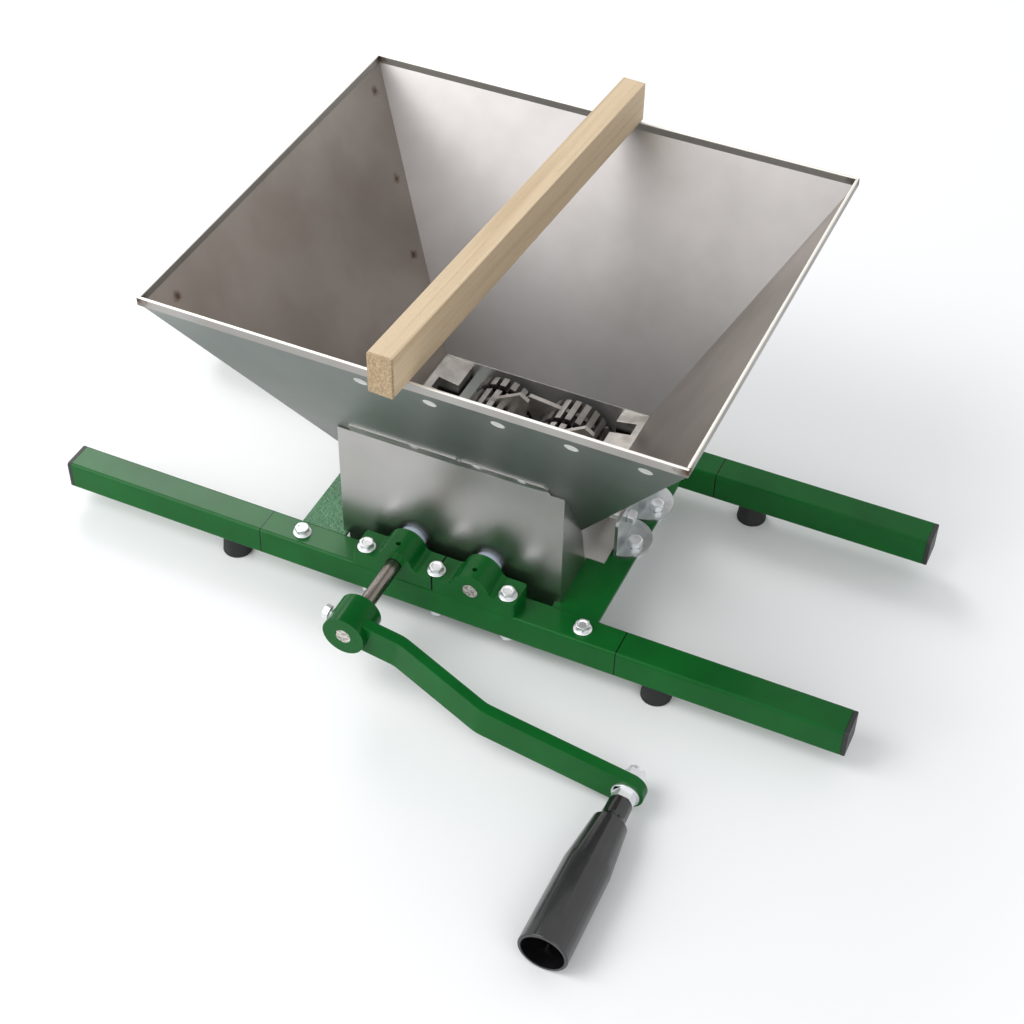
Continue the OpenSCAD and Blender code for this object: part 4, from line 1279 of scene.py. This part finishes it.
@dataclass
class Fasteners:
    """Sets detailed bolts and nuts where the frame has its plain ones."""

    shop: Workshop
    scatter: Scatter

    def set(
        self, node: str, shape: HexFastener, axis: Vector, nut: bool = False, seed: int = 0
    ) -> None:
        """Sets a fastener in the place of each solid of a node, level with its top.

        Args:
            node: The node that the fasteners stand for.
            shape: The fastener.
            axis: The direction from its seat to its top.
            nut: True for nuts.
            seed: The seed of each one's own turn; zero leaves them as the frame has them.
        """
        points = []
        for low, high in self.shop.solids(node):
            reach = sum(abs(axis[i]) * (high[i] - low[i]) / 2 for i in range(3))
            points.append((low + high) / 2 + axis * (reach - shape.height * MM))
        piece = self.scatter.place(f"{node}_set", shape.mesh(nut), points, ZINC, axis, seed)
        self.shop.finish(piece, Body.FRAME, ZINC, [node])


def met(node: str, low_end: bool, high_end: bool, depth: float = 0.6) -> PowderCoat:
    """Gives the green coat of a piece that butts against others along X, with painted shade at its
    butting ends.

    Args:
        node: The piece's node.
        low_end: True where its lower end meets a piece.
        high_end: True where its higher end meets a piece.
        depth: How far the painted shade at the seam reaches, in millimetres.

    Returns:
        The coat.
    """
    low, high = (corner[0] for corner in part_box(node))
    # Painted shade at each butting end, where the seam between tubes lies in shade.
    ends = []
    if low_end:
        ends.append((low + depth * MM, -depth / 2))
    if high_end:
        ends.append((high - depth * MM, depth / 2))
    return replace(GREEN, name=f"powder_coat_{node}", ends=tuple(ends))


@dataclass
class RailFrame:
    """Two rails with their arms, caps and feet, and the plates that join the rails."""

    shop: Workshop
    fasteners: Fasteners
    tube_ease: float = 0.35
    cap_ease: float = 1.1
    foot_ease: float = 1.0
    plate_ease: float = 0.4
    screw_ease: float = 0.5
    sleeve_ease: float = 0.2
    bolt_len: float = 16.1

    def build(self) -> None:
        """Builds and dresses all the frame's pieces."""
        eased = self.shop.eased
        for side in ("front", "rear"):
            rail = f"{side}_rail"
            eased(rail, Body.FRAME, met(rail, True, True), self.tube_ease)
            for end in ("left", "right"):
                arm = f"{side}_{end}_arm"
                coat = met(arm, end == "right", end == "left")
                eased(arm, Body.FRAME, coat, self.tube_ease)
        eased("left_cross_plate", Body.FRAME, HAMMERED_GREEN, self.plate_ease)
        eased("right_cross_plate", Body.FRAME, GREEN, self.plate_ease)
        eased("arm_end_caps", Body.FRAME, CAP, self.cap_ease, steps=3)
        eased("rubber_feet", Body.FRAME, RUBBER, self.foot_ease, steps=3, angle=50)
        eased("foot_screws", Body.FRAME, ZINC, self.screw_ease)
        eased("arm_sleeves", Body.FRAME, SHAFT, self.sleeve_ease)
        bolt = replace(FRAME_BOLT, shank_len=self.bolt_len)
        self.fasteners.set("arm_clamp_bolts", bolt, UP, seed=3)
        self.fasteners.set("arm_clamp_nuts", PLAIN_NUT, UP, nut=True)


@dataclass
class Bearings:
    """Four cast blocks with their nylon bushes, bolts and nuts."""

    shop: Workshop
    fasteners: Fasteners
    block_ease: float = 0.9
    bush_ease: float = 0.5
    bolt_len: float = 46.0

    def build(self) -> None:
        """Builds and dresses the blocks, bushes and their fastening."""
        for side in ("front", "rear"):
            for end in ("left", "right"):
                block = f"{side}_{end}_block"
                coat = met(block, end == "right", end == "left")
                self.shop.eased(block, Body.FRAME, coat, self.block_ease, steps=3, angle=40)
                self.shop.eased(f"{side}_{end}_bush", Body.FRAME, NYLON, self.bush_ease, angle=50)
        bolt = replace(FRAME_BOLT, shank_len=self.bolt_len)
        self.fasteners.set("block_bolts", bolt, UP, seed=5)
        self.fasteners.set("block_nuts", FLANGE_NUT, DOWN, nut=True, seed=6)


@dataclass
class CrushingUnit:
    """Shafts, gears and rotors, and the combs that the paddles pass through."""

    shop: Workshop
    cast_ease: float = 0.7
    gear_ease: float = 0.35
    pin_ease: float = 0.3
    shaft_ease: float = 0.6
    faced_depth: float = 0.2
    # Depth under the comb's top at which its painted shade starts, in millimetres.
    comb_bright: float = 9.0

    def build(self) -> None:
        """Builds and dresses the moving pieces and the combs."""
        eased = self.shop.eased
        for name, body in (("drive", Body.DRIVE), ("driven", Body.DRIVEN)):
            low, high = (Vector(corner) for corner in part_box(f"{name}_shaft"))
            end = low.y + self.faced_depth * MM
            steel = replace(SHAFT, name=f"turned_{name}_shaft", faced_level=end)
            eased(f"{name}_shaft", body, steel, self.shaft_ease, angle=50)
            eased(f"{name}_gear", body, GEAR, self.gear_ease, steps=1, angle=50)
            eased(f"{name}_pins", body, ZINC, self.pin_ease, steps=1, angle=50)
            # The rotor's finish gets painted shade towards its axle.
            cast = replace(CAST, name=f"cast_{name}_rotor", axle=(low + high) / 2)
            eased(f"{name}_rotor", body, cast, self.cast_ease, angle=40)
        for side in ("left", "right"):
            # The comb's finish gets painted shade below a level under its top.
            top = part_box(f"{side}_comb")[1][2]
            level = top - self.comb_bright * MM
            cast = replace(CAST, name=f"cast_{side}_comb", deep_level=level)
            eased(f"{side}_comb", Body.FRAME, cast, self.cast_ease, steps=3)


@dataclass
class Chamber:
    """The sheet walls round the rotors, the gear cover and the brackets of the combs."""

    shop: Workshop
    fasteners: Fasteners
    sheet_ease: float = 0.22
    bracket_ease: float = 0.5
    bracket_bolt_len: float = 13.5
    comb_bolt_len: float = 27.5
    cover_bend: float = 1.3
    bend_face: float = 900.0
    weld_r: float = 3.2
    lip_welds: tuple[float, ...] = (-25.0, 25.0, 60.0)

    def build(self) -> None:
        """Builds and dresses the walls, the cover, the brackets and their fastening."""
        for wall in ("front", "rear", "left", "right"):
            node = f"chamber_{wall}_wall"
            self.shop.eased(node, Body.FRAME, STAINLESS, self.sheet_ease, steps=1)
        self.cover()
        for side in ("left", "right"):
            self.shop.eased(f"{side}_brackets", Body.FRAME, PRESSED_ZINC, self.bracket_ease)
        bolt = replace(PLAIN_BOLT, shank_len=self.bracket_bolt_len)
        self.fasteners.set("bracket_bolts", bolt, UP, seed=7)
        self.fasteners.set("bracket_nuts", PLAIN_NUT, DOWN, nut=True, seed=8)
        self.comb_fasteners()

    def cover(self) -> None:
        """Dresses the gear cover, its corners bent and its lip spot-welded to the hopper."""
        least = self.bend_face * MM * MM

        def folded(edge: bmesh.types.BMEdge) -> bool:
            """Tells whether an edge joins two walls of the sheet."""
            return all(face.calc_area() > least for face in edge.link_faces)

        self.shop.eased(
            "gear_cover",
            Body.FRAME,
            # The cover takes the lighter copy of the stainless, as painted light.
            COVER_SHEET,
            self.sheet_ease,
            bends=folded,
            bend_r=self.cover_bend,
        )
        centre, normal = self.shop.face("gear_cover", SLOPE_OUT)
        points = [Vector((x * MM, centre.y, centre.z)) for x in self.lip_welds]
        piece = self.fasteners.scatter.place(
            "cover_lip_welds", weld_spot(self.weld_r), points, WELD, normal, seed=21
        )
        self.shop.finish(piece, Body.FRAME, WELD)

    def comb_fasteners(self) -> None:
        """Sets the bolts that hold the combs, two a side, and their spacers."""
        bolt = replace(PLAIN_BOLT, shank_len=self.comb_bolt_len)
        solids = self.shop.solids("comb_bolts")
        for side, name, seed in ((-1, "left", 8), (1, "right", 10)):
            points = []
            for low, high in solids:
                if side * low.x > 0:
                    outer = high.x if side > 0 else low.x
                    middle = (low + high) / 2
                    points.append(Vector((outer - side * bolt.height * MM, middle.y, middle.z)))
            piece = self.fasteners.scatter.place(
                f"comb_bolts_{name}", bolt.mesh(), points, ZINC, Vector((side, 0, 0)), seed
            )
            self.shop.finish(piece, Body.FRAME, ZINC, ["comb_bolts"])
        self.shop.eased("comb_spacers", Body.FRAME, ZINC, self.bracket_ease, angle=50)


@dataclass
class Hopper:
    """Four sloped panels with their corner flaps, spot welds and folded rim.

    The side spots are places of heat tint on the side panels, as shares of the hopper's box.
    """

    shop: Workshop
    scatter: Scatter
    sheet_ease: float = 0.15
    rim_ease: float = 0.9
    # Depth of the rim's painted highlight under its top, in millimetres.
    rim_edge: float = 0.5
    corner_scorch: float = 13.0
    spot_scorch: float = 6.0
    side_spots: tuple[tuple[float, float, float], ...] = (
        (0.027, 0.93, 0.905),
        (0.108, 0.847, 0.62),
        (0.177, 0.77, 0.37),
        (0.027, 0.093, 0.905),
    )
    weld_r: float = 5.0
    weld_drop: float = 22.0
    weld_places: tuple[float, ...] = (-35.0, 16.3, 65.6, 117.7, 168.9)

    def build(self) -> None:
        """Builds and dresses the panels, the flaps, the rim and the weld marks."""
        low, high = (Vector(corner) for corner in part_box("hopper_rim"))
        low.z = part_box("hopper_left_panel")[0][2]
        corners = tuple(
            (Vector((x, y, high.z)), self.corner_scorch)
            for x in (low.x, high.x)
            for y in (low.y, high.y)
        )
        size = high - low
        spots = tuple(
            (low + Vector(share * length for share, length in zip(spot, size)), self.spot_scorch)
            for spot in self.side_spots
        )
        # The side panels and flaps take the darker copy of the stainless, as painted shade, with
        # their heat tint.
        side_panel = replace(SIDE_PANEL, scorches=corners + spots)
        # The rim's top gets a painted highlight.
        rim = replace(RIM_SHEET, scorches=corners, edge_level=high.z - self.rim_edge * MM)
        panels = (
            ("hopper_front_panel", FRONT_PANEL),
            ("hopper_back_panel", BACK_PANEL),
            ("hopper_left_panel", side_panel),
            ("hopper_right_panel", side_panel),
            ("hopper_corner_flaps", side_panel),
        )
        for node, finish in panels:
            self.shop.eased(node, Body.FRAME, finish, self.sheet_ease, steps=1)
        self.shop.eased("hopper_rim", Body.FRAME, rim, self.rim_ease, steps=3)
        self.welds(high.z)

    def welds(self, top: float) -> None:
        """Sets the row of spot welds under the front rim.

        Args:
            top: The height of the rim, in metres.
        """
        centre, normal = self.shop.face("hopper_front_panel", SLOPE_OUT)
        level = top - self.weld_drop * MM
        y = centre.y - (level - centre.z) * normal.z / normal.y
        points = [Vector((x * MM, y, level)) for x in self.weld_places]
        piece = self.scatter.place(
            "hopper_weld_spots", weld_spot(self.weld_r), points, WELD, normal, seed=22
        )
        self.shop.finish(piece, Body.FRAME, WELD)


@dataclass
class Crank:
    """The crank: a hub, a flat bar, and the turning grip with its fastening."""

    shop: Workshop
    hub_ease: float = 0.8
    bar_ease: float = 0.9
    grip_ease: float = 0.6
    screw_ease: float = 0.5

    def build(self) -> None:
        """Builds and dresses the crank's pieces."""
        eased = self.shop.eased
        eased("crank_hub", Body.DRIVE, GREEN, self.hub_ease, angle=50)
        eased("crank_bar", Body.DRIVE, GREEN, self.bar_ease, steps=3, angle=40)
        for name in (
            "crank_set_screw",
            "grip_bolt",
            "grip_flange_nut",
            "grip_spring_washer",
            "grip_lock_nut",
        ):
            eased(name, Body.DRIVE, ZINC, self.screw_ease, angle=40)
        eased("crank_grip", Body.GRIP, GRIP, self.grip_ease, angle=50)


@dataclass
class Pusher:
    """The loose beech bar that lies across the hopper's rim."""

    shop: Workshop
    ease: float = 0.5
    end_depth: float = 2.6

    def build(self) -> None:
        """Dresses the bar, its long edges broken with sandpaper."""
        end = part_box("pusher_bar")[0][1] + self.end_depth * MM
        wood = replace(BEECH, end_level=end)
        self.shop.eased("pusher_bar", Body.PUSHER, wood, self.ease, steps=3, angle=30)


@dataclass
class Studio:
    """A pale floor, soft lamps and the camera at the photograph's viewing angle.

    The camera's angles are in degrees, its focal length in pixels of the photograph, and its
    offset to the right, upwards and back in millimetres. A lamp has a name, a place and the side
    of its square in metres, and a power in watts.
    """

    floor_size: float = 30.0
    floor_colour: str = "#f4f4f4"
    floor_roughness: float = 0.9
    sky_colour: str = "#e9ecef"
    sky_strength: float = 0.75
    backdrop: str = "#ffffff"
    azimuth: float = 23.985
    elevation: float = 43.995
    roll: float = 1.092
    focal: float = 1910.526
    offset: tuple[float, float, float] = (11.489, 16.038, 1531.564)
    picture: int = 1024
    sensor: float = 36.0
    clip: Range = (0.05, 100.0)
    frame_shift: float = 76.7396
    aim: tuple[float, float, float] = (0, 0.05, 0.15)
    lamps: tuple[tuple[str, tuple[float, float, float], float, float], ...] = (
        ("front", (-1.6, -2.2, 1.0), 0.9, 9.0),
        ("front_high", (-0.6, -2.3, 1.8), 0.6, 3.0),
        ("key", (-1.6, -1.2, 2.6), 1.8, 46.0),
        ("fill", (2.2, -1.8, 1.8), 2.2, 22.0),
        ("back", (-1.6, 1.6, 1.8), 1.0, 22.0),
    )

    def build(self) -> None:
        """Builds the floor, the lamps, the world and the camera."""
        self.world()
        self.floor()
        for name, place, size, power in self.lamps:
            self.lamp(name, Vector(place), size, power)
        self.camera()
        bpy.context.scene.view_settings.view_transform = "Standard"

    def world(self) -> None:
        """Makes the world: soft grey light, white to the camera and in reflections."""
        world = bpy.data.worlds.new("studio")
        tree = fresh_tree(world)
        rays = add_node(tree, "ShaderNodeLightPath").outputs
        seen = rays["Is Camera Ray"]
        for ray in ("Is Glossy Ray", "Is Transmission Ray"):
            either = add_node(tree, "ShaderNodeMath", {0: seen, 1: rays[ray]}, operation="MAXIMUM")
            seen = either.outputs[0]
        light, white = (
            add_node(
                tree, "ShaderNodeBackground", {"Color": linear(colour), "Strength": strength}
            ).outputs[0]
            for colour, strength in ((self.sky_colour, self.sky_strength), (self.backdrop, 1.0))
        )
        mixed = add_node(tree, "ShaderNodeMixShader", {0: seen, 1: light, 2: white})
        add_node(tree, "ShaderNodeOutputWorld", {"Surface": mixed.outputs[0]})
        bpy.context.scene.world = world

    def floor(self) -> None:
        """Lays the floor under the feet."""
        half = self.floor_size / 2
        corners = [(-half, -half, 0), (half, -half, 0), (half, half, 0), (-half, half, 0)]
        data = bpy.data.meshes.new("studio_floor")
        data.from_pydata(corners, [], [(0, 1, 2, 3)])
        floor = add_object("studio_floor", data)
        made = bpy.data.materials.new("studio_paper")
        tree = fresh_tree(made)
        shader = add_node(
            tree,
            "ShaderNodeBsdfPrincipled",
            {"Base Color": linear(self.floor_colour), "Roughness": self.floor_roughness},
        )
        add_node(tree, "ShaderNodeOutputMaterial", {"Surface": shader.outputs[0]})
        data.materials.append(made)

    def lamp(self, name: str, place: Vector, size: float, power: float) -> None:
        """Hangs a square lamp that shines on the hopper.

        Args:
            name: The lamp's name.
            place: Where it hangs, in metres.
            size: The side of its square, in metres.
            power: Its power, in watts.
        """
        light = bpy.data.lights.new(name, "AREA")
        light.shape = "SQUARE"
        light.size = size
        light.energy = power
        turn = (place - Vector(self.aim)).to_track_quat("Z", "Y").to_matrix().to_4x4()
        add_object(name, light).matrix_world = Matrix.Translation(place) @ turn

    def camera(self) -> None:
        """Sets the camera where the photograph was taken from."""
        turn, lift, roll = (math.radians(a) for a in (self.azimuth, self.elevation, self.roll))
        back = Vector(
            (math.sin(turn) * math.cos(lift), -math.cos(turn) * math.cos(lift), math.sin(lift))
        )
        right = Vector((math.cos(turn), math.sin(turn), 0))
        above = back.cross(right)
        level = math.cos(roll) * right + math.sin(roll) * above
        upward = -math.sin(roll) * right + math.cos(roll) * above
        place = level * self.offset[0] + upward * self.offset[1] + back * self.offset[2]
        place += Vector((0, self.frame_shift, 0))
        data = bpy.data.cameras.new("photo_view")
        data.sensor_fit = "HORIZONTAL"
        data.sensor_width = self.sensor
        data.lens = self.focal * self.sensor / self.picture
        data.clip_start, data.clip_end = self.clip
        camera = add_object("photo_view", data)
        frame = Matrix((level, upward, back)).transposed().to_4x4()
        frame.translation = place * MM
        camera.matrix_world = frame
        bpy.context.scene.camera = camera


def main() -> None:
    """Builds the machine round the frame and sets it in the studio."""
    logging.basicConfig(level=logging.INFO, format="%(name)s %(message)s")
    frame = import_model()
    Studio().build()
    shop = Workshop(frame)
    scatter = Scatter()
    fasteners = Fasteners(shop, scatter)
    RailFrame(shop, fasteners).build()
    Bearings(shop, fasteners).build()
    CrushingUnit(shop).build()
    Chamber(shop, fasteners).build()
    Hopper(shop, scatter).build()
    Crank(shop).build()
    Pusher(shop).build()
    log.info("%d pieces made", shop.made)


if __name__ == "__main__":
    main()
